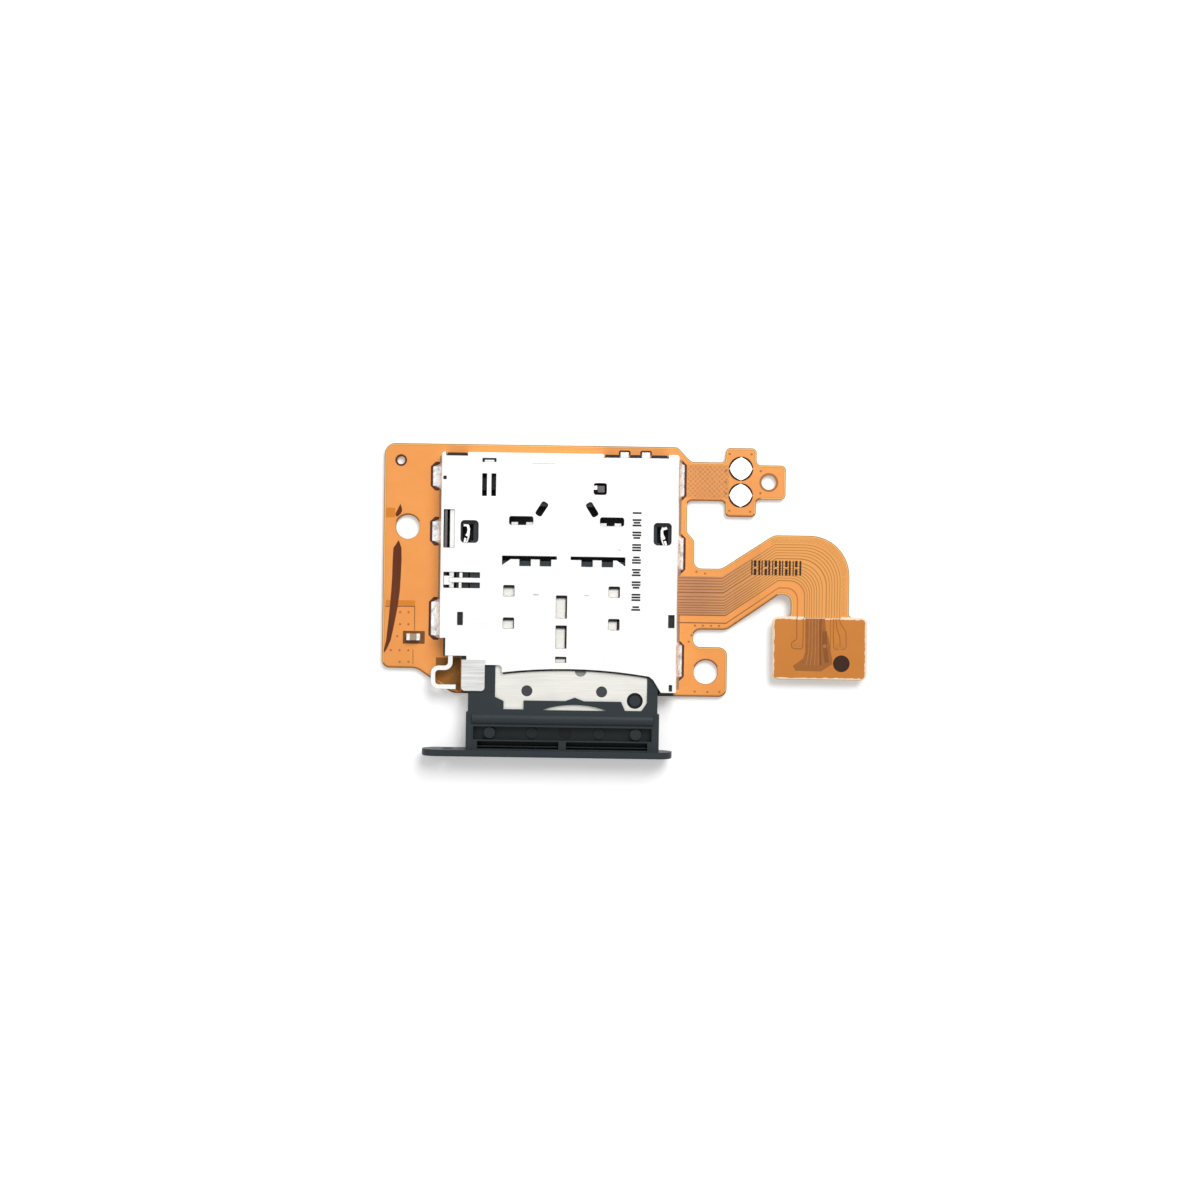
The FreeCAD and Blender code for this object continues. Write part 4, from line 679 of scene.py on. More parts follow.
def chain(bm: Mesh, points: Sequence[Point]) -> list[bmesh.types.BMEdge]:
    """Draws an open line through points.

    Args:
        bm: Mesh to draw in.
        points: Places in plan.

    Returns:
        Its edges.
    """
    vert = bm.verts.new((*points[0], 0.0))
    edges = []
    for point in points[1:]:
        made = bmesh.ops.extrude_vert_indiv(bm, verts=[vert])
        vert = made["verts"][0]
        vert.co = (*point, 0.0)
        edges += made["edges"]
    return edges


def band(bm: Mesh, first: Sequence[Point], second: Sequence[Point]) -> None:
    """Fills the strip between two lines with as many points.

    Args:
        bm: Mesh to draw in.
        first: One side in plan.
        second: The other side in plan.
    """
    bmesh.ops.bridge_loops(bm, edges=chain(bm, first) + chain(bm, second))


def stroke(bm: Mesh, points: Sequence[Point], width: float) -> None:
    """Draws a line of even width through points.

    Args:
        bm: Mesh to draw in.
        points: Places in plan.
        width: Width of the line.
    """
    sides: tuple[list[Point], list[Point]] = ([], [])
    for index, (x, y) in enumerate(points):
        before, after = points[max(index - 1, 0)], points[min(index + 1, len(points) - 1)]
        way = Vector((after[0] - before[0], after[1] - before[1])).normalized() * (width / 2)
        sides[0].append((x - way.y, y + way.x))
        sides[1].append((x + way.y, y - way.x))
    band(bm, *sides)


def ring(bm: Mesh, middle: Point, inner: float, outer: float, segments: int = 64) -> None:
    """Adds a flat ring.

    Args:
        bm: Mesh to draw in.
        middle: Its place in plan.
        inner: Inner radius.
        outer: Outer radius.
        segments: Sides of its outlines.
    """
    matrix = Matrix.Translation((*middle, 0.0))
    loops = []
    for radius in (inner, outer):
        made = bmesh.ops.create_circle(bm, segments=segments, radius=radius, matrix=matrix)
        loops += list({edge for vert in made["verts"] for edge in vert.link_edges})
    bmesh.ops.bridge_loops(bm, edges=loops)


def disc(bm: Mesh, middle: Point, radius: float, segments: int) -> None:
    """Adds a flat disc.

    Args:
        bm: Mesh to draw in.
        middle: Its place in plan.
        radius: Its radius.
        segments: Sides of its outline.
    """
    matrix = Matrix.Translation((*middle, 0.0))
    bmesh.ops.create_circle(bm, cap_ends=True, segments=segments, radius=radius, matrix=matrix)


def patch(bm: Mesh, middle: Point, half: Point, radius: float, segments: int = 4) -> None:
    """Adds a flat rectangle with rounded or cut corners.

    Args:
        bm: Mesh to draw in.
        middle: Its place in plan.
        half: Its half size.
        radius: Corner radius.
        segments: Sides of each corner; one cuts it straight.
    """
    matrix = Matrix.Translation((*middle, 0.0)) @ Matrix.Diagonal((*half, 1.0, 1.0))
    corners = bmesh.ops.create_grid(bm, x_segments=1, y_segments=1, size=1.0, matrix=matrix)["verts"]
    bmesh.ops.bevel(bm, geom=corners, offset=radius, segments=segments, profile=0.5, affect="VERTICES",
                    material=-1)


def doubled(bm: Mesh) -> list[bmesh.types.BMVert]:
    """Closes flat marks with a second face each.

    Args:
        bm: Flat marks in plan.

    Returns:
        Corners of the new faces, which still lie on the old ones.
    """
    made = bmesh.ops.extrude_face_region(bm, geom=bm.faces[:], use_keep_orig=True)
    return [item for item in made["geom"] if isinstance(item, bmesh.types.BMVert)]


def sheet(bm: Mesh, name: str, span: Point, finish: Finish, body: Body) -> None:
    """Makes a finished piece of flat marks between two heights.

    Args:
        bm: Flat marks in plan.
        name: Piece name.
        span: Heights of its underside and its upper face.
        finish: Its finish.
        body: Body that it moves with.
    """
    upper = doubled(bm)
    bmesh.ops.translate(bm, vec=(0, 0, span[0]), verts=bm.verts)
    bmesh.ops.translate(bm, vec=(0, 0, span[1] - span[0]), verts=upper)
    settle(bm, name, finish, body)


@dataclass
class Ribbon:
    """Lines of the ribbon, from its root round the bend to the connector tab, in millimetres."""

    root: float = 8.70
    # Inner and outer ends of the two folds and of the row of the bend's centres.
    first: Line = ((12.58, -4.08), (12.13, 0.50))
    crest: Line = ((16.40, -1.36), (16.00, 3.05))
    bend: Line = ((16.70, -1.96), (18.62, 0.05))
    bend_radii: Point = (0.60, 3.00)
    width: float = 4.32
    side: float = 17.30
    end: float = -3.20
    bend_steps: int = 12

    def line(self, offset: float) -> list[Point]:
        """Line that keeps its distance from the ribbon's inner edge.

        Args:
            offset: Distance from the inner edge.

        Returns:
            Points of the line from root to tab.
        """
        share = offset / self.width
        first, crest, centre = ((inner[0] + (outer[0] - inner[0]) * share,
                                 inner[1] + (outer[1] - inner[1]) * share)
                                for inner, outer in (self.first, self.crest, self.bend))
        inner, outer = self.bend_radii
        radius = inner + (outer - inner) * share
        points = [(self.root, first[1]), first, crest]
        for step in range(self.bend_steps + 1):
            angle = math.pi / 2 * (1.0 - step / self.bend_steps)
            points.append((centre[0] + radius * math.cos(angle), centre[1] + radius * math.sin(angle)))
        return points + [(self.side + offset, self.end)]


# How far each layer of marks stands above its face and reaches below it.
RISES = {
    "film_edge_line": 0.005, "copper_edge_line": 0.005, "copper_areas": 0.006, "wing_band": 0.0065,
    "hook_shadow": 0.0065, "front_edge_shade": 0.0068, "nose_rim": 0.007, "locating_rim": 0.007,
    "hole_shades": 0.0072, "solder_clearances": 0.0075, "wall_shade_lines": 0.0085, "trace_ground": 0.009,
    "etched_pads": 0.010, "trace_gaps": 0.012, "via_dots": 0.013, "pen_strokes": 0.0145,
    "ribbon_bars": 0.016, "land_rings": 0.018, "land_plating": 0.003, "tab_bundle": 0.003,
    "tab_deep_lines": 0.005, "tab_lines": 0.006, "tab_pale_lines": 0.008, "ink_dot": 0.012,
}


@dataclass
class FlexCircuit:
    """Flexible circuit: film, copper under it, printed lines, lands, vias and pen marks."""

    top: float = 0.38
    tab_top: float = 0.93
    film_top: float = 1.05
    ramp_start: float = 13.09
    ramp_end: float = 14.99
    ramp_rear: float = 4.0
    edge_line: float = 0.05
    # Width of the painted shade strip along the film's front-facing edges.
    front_shade_width: float = 0.11
    film_rim: float = 0.13
    pour_line: float = 0.165
    screw_holes: tuple[Point, Point] = ((-11.4, 3.3), (11.05, -7.26))
    screw_radius: float = 0.90
    screw_shade: Point = (0.04, 0.11)
    shade_arc: Point = (5.0, 170.0)
    shade_steps: int = 24
    tab_corner: Point = (15.5, -2.98)
    tab_rear: float = -3.12
    tab_box: Box = ((19.46, -5.365), (3.56, 2.365))
    land_line: float = 13.475
    land_rows: Point = (8.005, 6.015)
    land_radius: float = 0.84
    land_level: float = 0.03
    ring_level: float = 0.018
    ring_outer: float = 0.91
    ring_depth: float = 0.15
    ring_steps: int = 14
    spoke_share: float = 0.04
    spoke_round: float = 0.35
    gap_width: float = 0.055
    gaps: tuple[float, ...] = (1.02, 1.20, 1.37, 1.54, 1.72, 1.90, 2.10, 2.32, 2.62, 2.84, 3.04, 3.24,
                               3.44, 3.64, 0.48)
    bold_gaps: tuple[float, ...] = (0.48, 1.02, 2.62)
    bold_share: float = 1.5
    ground_span: Point = (1.02, 3.76)
    via_radius: float = 0.085
    tail_half: float = 0.30
    solder_margin: Point = (0.15, 0.13)
    tail_margin: float = 0.14
    bar_left: float = 14.32
    bar_count: int = 15
    bar_width: float = 0.09
    bar_step: float = 0.05
    bar_rows: tuple[tuple[float, ...], float] = ((0.92, 0.30), 0.24)
    bar_middle: tuple[tuple[float, ...], float] = ((0.61,), 0.55)
    # Painted shade strips beside the shell's left and right walls.
    wall_shade_lines: tuple[Box, Box] = (((-8.94, 1.88), (0.13, 6.78)), ((8.94, 0.0), (0.13, 8.6)))

    def lift(self, place: Vector) -> float:
        """Height of the film's upper face.

        Args:
            place: Place in plan.

        Returns:
            Height in millimetres.
        """
        if place.y > self.ramp_rear:
            return self.top
        share = (place.x - self.ramp_start) / (self.ramp_end - self.ramp_start)
        return self.top + (self.tab_top - self.top) * min(max(share, 0.0), 1.0)

    def lay(self, bm: Mesh, name: str, finish: Finish, level: float | None = None) -> None:
        """Lays flat marks on the film as a thin closed piece.

        Args:
            bm: Flat marks in plan.
            name: Piece name, under which its rise is listed.
            finish: Its finish.
            level: Height of the face; the film's own where it isn't given.
        """
        rise = RISES[name]
        for line in (self.ramp_start, self.ramp_end):
            self._slice(bm, (line, 0, 0), (1, 0, 0))
        bmesh.ops.recalc_face_normals(bm, faces=bm.faces[:])
        bmesh.ops.translate(bm, vec=(0, 0, rise * 2), verts=doubled(bm))
        for vert in bm.verts:
            vert.co.z += (self.lift(vert.co) if level is None else level) - rise
        settle(bm, name, finish, Body.READER)

    def build(self) -> None:
        """Builds every printed layer."""
        self._edges()
        self._copper()
        self._traces()
        self._rings()
        self._hole_rims()
        self._vias()
        self._tab_lines()
        self._pads()
        self._bars()
        self._hook_shadow()
        self._pen()

    @staticmethod
    def _slice(bm: Mesh, place: Sequence[float], way: Sequence[float]) -> None:
        """Cuts faces along an upright plane.

        Args:
            bm: Flat marks in plan.
            place: A place on the plane.
            way: Its normal.
        """
        geom = bm.verts[:] + bm.edges[:] + bm.faces[:]
        bmesh.ops.bisect_plane(bm, geom=geom, dist=SLICE, plane_co=place, plane_no=way)

    @staticmethod
    def _inset(bm: Mesh, width: float) -> list[bmesh.types.BMFace]:
        """Draws the sheet in from its edges.

        Args:
            bm: Flat sheet in plan.
            width: How far.

        Returns:
            Faces of the strip along the edges.
        """
        return bmesh.ops.inset_region(bm, faces=bm.faces[:], use_boundary=True, use_even_offset=True,
                                      thickness=width)["faces"]

    @staticmethod
    def _keep(bm: Mesh, kept: Iterable[bmesh.types.BMFace]) -> None:
        """Deletes all faces but the given ones.

        Args:
            bm: Flat sheet in plan.
            kept: Faces that stay.
        """
        kept = set(kept)
        bmesh.ops.delete(bm, geom=[face for face in bm.faces if face not in kept], context="FACES")

    @staticmethod
    def _plan() -> Mesh:
        """Upper face of the film as one flat sheet in plan.

        Returns:
            The sheet in millimetres.
        """
        bm = bmesh.new()
        bm.from_mesh(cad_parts["flex_circuit"].data)
        bmesh.ops.scale(bm, vec=(1 / MM, 1 / MM, 1 / MM), verts=bm.verts)
        away = [face for face in bm.faces if face.normal.z < 0.9]
        bmesh.ops.delete(bm, geom=away, context="FACES")
        bmesh.ops.scale(bm, vec=(1, 1, 0), verts=bm.verts)
        bmesh.ops.remove_doubles(bm, verts=bm.verts, dist=1e-3)
        bmesh.ops.dissolve_limit(bm, angle_limit=0.01, verts=bm.verts, edges=bm.edges)
        return bm

    def _strip(self, start: float, end: float | None) -> Mesh:
        """Part of the sheet between two distances from its edges, without the connector tab.

        Args:
            start: Nearer distance.
            end: Farther distance, or None for all that lies inside.

        Returns:
            The flat strip in millimetres.
        """
        bm = self._plan()
        if start:
            bmesh.ops.delete(bm, geom=self._inset(bm, start), context="FACES")
        if end:
            self._keep(bm, self._inset(bm, end - start))
        left, rear = self.tab_corner
        self._slice(bm, (0, rear, 0), (0, 1, 0))
        middles = {face: face.calc_center_median() for face in bm.faces}
        self._keep(bm, [face for face, middle in middles.items() if middle.x <= left or middle.y >= rear])
        return bm

    def _edges(self) -> None:
        """Dark line along the cut edge, the fainter line where the copper begins, and the painted shade along
        the front-facing edges.
        """
        for name, start, end, tint in (("film_edge", 0.0, self.edge_line, (0.30, 0.15, 0.035)),
                                       ("copper_edge", self.film_rim, self.pour_line, (0.56, 0.22, 0.05))):
            pale = tuple(number * 1.25 for number in tint)
            self.lay(self._strip(start, end), f"{name}_line", PrintFinish(name, tint, pale))
        self._front_edge_shade()

    def _front_edge_shade(self) -> None:
        """Painted shade along the edges that face the tray's door, and behind the two screw holes."""
        bm = self._plan()
        outline = {(edge.verts[0].co + edge.verts[1].co).to_tuple(3) for edge in bm.edges if edge.is_boundary}
        kept = set()
        for face in self._inset(bm, self.front_shade_width):
            inner = face.calc_center_median()
            for edge in face.edges:
                start, end = (vert.co for vert in edge.verts)
                if (start + end).to_tuple(3) in outline:
                    away = (start + end) / 2 - inner
                    run = (end - start).normalized()
                    if (away - run * away.dot(run)).normalized().y < -0.45 and inner.x < self.tab_corner[0]:
                        kept.add(face)
        self._keep(bm, kept)
        # Dark brown paint standing in for the shade on the front-facing edges.
        self.lay(bm, "front_edge_shade", PrintFinish("painted_front_shade", (0.24, 0.095, 0.02), (0.32, 0.13, 0.028)))

    def _copper(self) -> None:
        """Copper areas: the film's upper face, drawn in from every edge and hole."""
        bm = self._strip(self.pour_line, None)
        for hole in self.screw_holes:
            ring(bm, hole, self.screw_radius + 0.02, self.screw_radius + self.pour_line - 0.002)
        brown, golden = (0.40, 0.18, 0.068), (0.56, 0.29, 0.068)
        neck = ((10.9, 7.01), (1.75, 1.3))
        side, crest = ((21.08, -1.45), (0.3, 1.5)), ((17.2, 2.55), (1.5, 0.3))
        self.lay(bm, "copper_areas", FilmFinish(
            "copper_under_film", (0.855, 0.332, 0.081), (0.805, 0.30, 0.069), (0.42, 0.15, 0.03),
            hatched=((neck, brown), (side, golden), (crest, golden)),
            hatch_ring=(Ribbon().bend[1], 2.16, 2.76, golden)))

    def _traces(self) -> None:
        """Ground of the fine lines along the ribbon and the dark gaps between them."""
        ribbon = Ribbon()
        ground = bmesh.new()
        band(ground, *(ribbon.line(offset) for offset in self.ground_span))
        self.lay(ground, "trace_ground", PrintFinish(
            "line_ground", (0.50, 0.235, 0.115), (0.56, 0.26, 0.125), grain=Grain.ALONG_X, scale=3.0,
            far=(0.80, 0.365, 0.105), fade=(10.8, 16.0)))
        bm = bmesh.new()
        for offset in self.gaps:
            half = self.gap_width / 2 * (self.bold_share if offset in self.bold_gaps else 1.0)
            band(bm, ribbon.line(offset - half), ribbon.line(offset + half))
        self.lay(bm, "trace_gaps", PrintFinish("line_gap", (0.27, 0.11, 0.045), (0.33, 0.14, 0.06), scale=2.0,
                                               far=(0.50, 0.20, 0.055)))

    def _rings(self) -> None:
        """Dark rings round the two plated lands, closed at four spokes, and the plating inside them."""
        bm, plated = bmesh.new(), bmesh.new()
        for row in self.land_rows:
            for quarter in range(4):
                outer, inner = [], []
                for step in range(self.ring_steps + 1):
                    share = self.spoke_share + (1 - 2 * self.spoke_share) * step / self.ring_steps
                    angle = math.pi / 2 * (quarter + share)
                    way = (math.cos(angle), math.sin(angle))
                    depth = self.ring_depth * abs(math.sin(2 * angle)) ** self.spoke_round
                    for side, radius in ((outer, self.ring_outer), (inner, self.ring_outer - depth)):
                        side.append((self.land_line + way[0] * radius, row + way[1] * radius))
                band(bm, outer, inner)
            disc(plated, (self.land_line, row), self.land_radius, 48)
        dark = PrintFinish("ring_gap", (0.035, 0.008, 0.004), (0.06, 0.016, 0.008))
        self.lay(bm, "land_rings", dark, self.top + self.ring_level)
        bright = SteelFinish("land_plating", (0.97, 0.965, 0.95), (0.92, 0.91, 0.89), 0.3)
        self.lay(plated, "land_plating", bright, self.top + self.land_level)

    def _hole_rims(self) -> None:
        """Darker rings where the film is stepped back round the small holes, and the screw holes' shade."""
        nose = PrintFinish("nose_rim", (0.36, 0.15, 0.04), (0.44, 0.19, 0.055))
        dark = PrintFinish("dark_rim", (0.07, 0.02, 0.008), (0.12, 0.04, 0.015))
        for name, middle, inner, outer, finish in (("nose_rim", (15.57, 7.01), 0.56, 0.70, nose),
                                                   ("locating_rim", (-11.97, 8.28), 0.305, 0.43, dark)):
            bm = bmesh.new()
            ring(bm, middle, inner, outer)
            self.lay(bm, name, finish)
        shaded = bmesh.new()
        start, sweep = self.shade_arc
        arc = [math.radians(start + sweep * step / self.shade_steps) for step in range(self.shade_steps + 1)]
        for (x, y), depth in zip(self.screw_holes, self.screw_shade):
            rim = [(x + self.screw_radius * math.cos(turn), y + self.screw_radius * math.sin(turn))
                   for turn in arc]
            band(shaded, rim, [(px, py + depth) for px, py in rim])
        self.lay(shaded, "hole_shades", PrintFinish("hole_shade", (0.20, 0.075, 0.018), (0.28, 0.11, 0.026)))

    def _vias(self) -> None:
        """Small filled holes that show as dots."""
        places = [(10.2 + 0.6 * i, -3.78) for i in range(4)]
        places += [(9.95, -4.5), (9.75, -5.0), (10.25, -8.72), (11.2, -8.74), (12.1, -8.72)]
        places += [(12.62, 9.1), (14.25, 9.1), (12.65, 4.85), (14.2, 4.8), (14.95, 7.85), (14.95, 6.2)]
        places += [(12.35, 7.85), (12.35, 7.0), (12.35, 6.15), (10.25, 0.25), (10.9, 0.12)]
        places += [(-12.5 + 0.63 * i, -3.1 - 0.9 * j) for i in range(3) for j in range(2)]
        places += [(-12.06, -4.9)] + [(-12.54 + 0.66 * i, -5.95) for i in range(3)]
        places += [(-11.86, -6.82), (-11.2, -6.81)]
        bm = bmesh.new()
        for place in places:
            disc(bm, place, self.via_radius, 14)
        self.lay(bm, "via_dots", PrintFinish("via_dot", (0.40, 0.15, 0.04), (0.48, 0.19, 0.06)))

    def _tab_lines(self) -> None:
        """Copper that shows through the cover film on the connector tab."""
        rear = self.tab_rear
        bundle, deep, pale, dark = (bmesh.new() for _ in range(4))
        band(bundle,
             [(18.37, rear), (18.38, -3.9), (18.39, -4.6), (18.4, -5.6), (18.25, -6.1), (17.5, -6.66),
              (17.7, -7.02)],
             [(19.85, rear), (19.9, -3.9), (20.15, -4.6), (20.3, -5.6), (20.42, -6.1), (20.42, -6.5),
              (19.6, -7.05)])
        stroke(deep, [(19.83, -4.05), (19.84, -5.1), (20.02, -6.4)], 0.34)
        stroke(deep, [(19.50, rear), (19.5, -5.0), (19.56, -6.6)], 0.15)
        for start, foot in ((18.67, 18.5), (18.9, 18.8), (19.15, 19.1), (19.36, 19.38)):
            stroke(pale, [(start, rear), (start, -5.4), (foot, -6.6)], 0.05)
        for place in ((17.64, -5.1), (17.99, -5.1), (19.84, -5.16), (20.77, -5.14), (21.2, -5.14)):
            ring(pale, place, 0.05, 0.12)
        stroke(dark, [(17.74, rear), (17.75, -4.68), (17.6, -4.78), (17.42, -4.88), (17.37, -5.05),
                      (17.4, -5.28), (17.55, -5.38), (18.05, -5.39), (18.21, -5.3), (18.22, -5.0),
                      (18.22, rear)], 0.06)
        stroke(dark, [(20.47, rear), (20.48, -4.5), (20.52, -5.25), (20.65, -5.38), (20.9, -5.36)], 0.05)
        stroke(dark, [(20.66, rear), (20.72, -3.8), (20.97, -4.5), (20.99, -5.25)], 0.05)
        stroke(dark, [(20.88, rear), (21.05, -3.55), (21.4, -4.05), (21.46, -5.2), (21.32, -5.38),
                      (21.05, -5.36)], 0.05)
        for start in (18.5, 19.44, 20.24):
            stroke(dark, [(start, rear), (start + 0.02, -5.9)], 0.035)
        shadow = PrintFinish("tab_shadow", (0.33, 0.118, 0.03), (0.38, 0.138, 0.038), scale=2.0)
        for bm, name, finish in (
                (bundle, "tab_bundle", shadow),
                (deep, "tab_deep_lines", PrintFinish("tab_deep", (0.24, 0.08, 0.02), (0.29, 0.10, 0.028))),
                (pale, "tab_pale_lines", PrintFinish("tab_pale", (0.46, 0.19, 0.06), (0.52, 0.22, 0.07))),
                (dark, "tab_lines", PrintFinish("tab_line", (0.29, 0.10, 0.022), (0.34, 0.12, 0.03)))):
            self.lay(bm, name, finish, self.film_top)

    def _pads(self) -> None:
        """Etched pads round the chip capacitor and the clearances round the solder."""
        bm = bmesh.new()
        patch(bm, (-10.83, -4.97), (0.82, 0.48), 0.06)
        stroke(bm, [(-13.0, -2.68), (-10.78, -2.65)], 0.06)
        stroke(bm, [(-10.79, -2.65), (-10.78, -4.45)], 0.05)
        stroke(bm, [(-10.88, -5.85), (-10.86, -7.0)], 0.04)
        self.lay(bm, "etched_pads", PrintFinish("etched_gap", (0.16, 0.06, 0.02), (0.24, 0.1, 0.035)))
        rims = bmesh.new()
        across, along = self.solder_margin
        for name in nodes_named("solder_"):
            low, high = plan_of(name)
            middle, half = (low + high) / 2, (high - low) / 2
            patch(rims, (middle.x, middle.y), (half.x + across, half.y + along), 0.36, 1)
        for name in ("detect_spring", "detect_contact"):
            low, high = plan_of(name)
            patch(rims, (low.x + self.tail_half, high.y - 0.05),
                  (self.tail_half + self.tail_margin, 0.2), 0.1, 1)
        self.lay(rims, "solder_clearances",
                 PrintFinish("flux_rim", (0.075, 0.022, 0.013), (0.15, 0.05, 0.025), scale=3.0))

    def _bars(self) -> None:
        """Plain ink bars on the ribbon and a darker band beside the wing's frame."""
        bm = bmesh.new()
        left = self.bar_left
        for index in range(self.bar_count):
            width = self.bar_width + self.bar_step * (index * 5 % 3)
            rows, half = self.bar_rows if index % 3 == 1 else self.bar_middle
            for row in rows:
                patch(bm, (left + width / 2, row), (width / 2, half), 0.02)
            left += width + self.bar_width + self.bar_step * (index % 2)
        self.lay(bm, "ribbon_bars", PrintFinish("bar_ink", (0.032, 0.018, 0.012), (0.07, 0.036, 0.022)))
        deep = bmesh.new()
        patch(deep, (-11.86, -2.42), (1.1, 0.21), 0.03)
        patch(deep, (-12.72, 4.35), (0.36, 0.36), 0.03)
        self.lay(deep, "wing_band", PrintFinish("deep_copper", (0.66, 0.215, 0.03), (0.72, 0.245, 0.038)))

    def _hook_shadow(self) -> None:
        """Painted shadow of the hook and tongue on the film under the push rod's hook, and a line of painted
        shade along the shell's sides.
        """
        bm = bmesh.new()
        # A darker brown patch that paints the hook's and tongue's shadow on the film.
        band(bm, [(-9.15, -6.45), (-9.15, -8.1)], [(-7.3, -6.45), (-7.3, -9.0)])
        self.lay(bm, "hook_shadow",
                 PrintFinish("painted_hook_shadow", (0.27, 0.11, 0.02), (0.40, 0.165, 0.035), scale=2.0))
        # Grey-brown strips beside the shell's side walls, painted shade where the walls meet the film.
        wall_shade_strips = bmesh.new()
        for box in self.wall_shade_lines:
            patch(wall_shade_strips, *box, 0.03)
        self.lay(wall_shade_strips, "wall_shade_lines", PrintFinish("painted_wall_shade", (0.29, 0.18, 0.11), (0.36, 0.24, 0.16),
                                                  grain=Grain.ALONG_Y, scale=4.0))

    def _pen(self) -> None:
        """Pen strokes on the wing, as rows of Y, X and width, and the ink dot on the tab."""
        bm = bmesh.new()
        leaf = [(4.98, -11.98, 0.02), (4.75, -11.99, 0.22), (4.5, -12.03, 0.38), (4.3, -12.12, 0.4),
                (4.14, -12.2, 0.26), (4.05, -12.22, 0.04)]
        line = [(2.25, -12.07, 0.04), (2.0, -12.1, 0.3), (1.7, -12.15, 0.6), (0.8, -12.16, 0.66),
                (-0.4, -12.19, 0.64), (-1.55, -12.25, 0.64), (-2.7, -12.36, 0.58), (-4.0, -12.54, 0.46),
                (-5.2, -12.72, 0.34), (-5.9, -12.95, 0.2), (-6.15, -13.05, 0.04)]
        for marks in (leaf, line):
            band(bm, [(x - w / 2, y) for y, x, w in marks], [(x + w / 2, y) for y, x, w in marks])
        self.lay(bm, "pen_strokes", PrintFinish("pen_ink", (0.105, 0.026, 0.009), (0.17, 0.048, 0.018), 0.3,
                                                grain=Grain.ALONG_Y, scale=5.0))
        dot = bmesh.new()
        disc(dot, (21.1, -6.45), 0.62, 40)
        ink = PrintFinish("dot_ink", (0.036, 0.014, 0.008), (0.055, 0.024, 0.016), 0.35)
        self.lay(dot, "ink_dot", ink, self.film_top)

    def dress(self) -> None:
        """Finishes of the film, the stiffener and the tab's cover film."""
        middle, (across, along) = self.tab_box
        dress(["flex_circuit"],
              FilmFinish("amber_film", (0.88, 0.50, 0.16), (0.84, 0.44, 0.12), (0.30, 0.10, 0.02),
                         pale_rim=self.tab_box, rim_width=0.3))
        dress(["reader_stiffener"],
              FilmFinish("stiffener_laminate", (0.62, 0.26, 0.05), (0.54, 0.22, 0.04), (0.36, 0.13, 0.03),
                         0.5))
        dress(["tab_film"],
              FilmFinish("cover_film", (0.58, 0.20, 0.026), (0.54, 0.182, 0.02), (0.85, 0.78, 0.66), 0.45,
                         pale_rim=(middle, (across - 0.10, along - 0.10)), rim_width=0.12,
                         rim_tint=(0.9, 0.82, 0.68)))


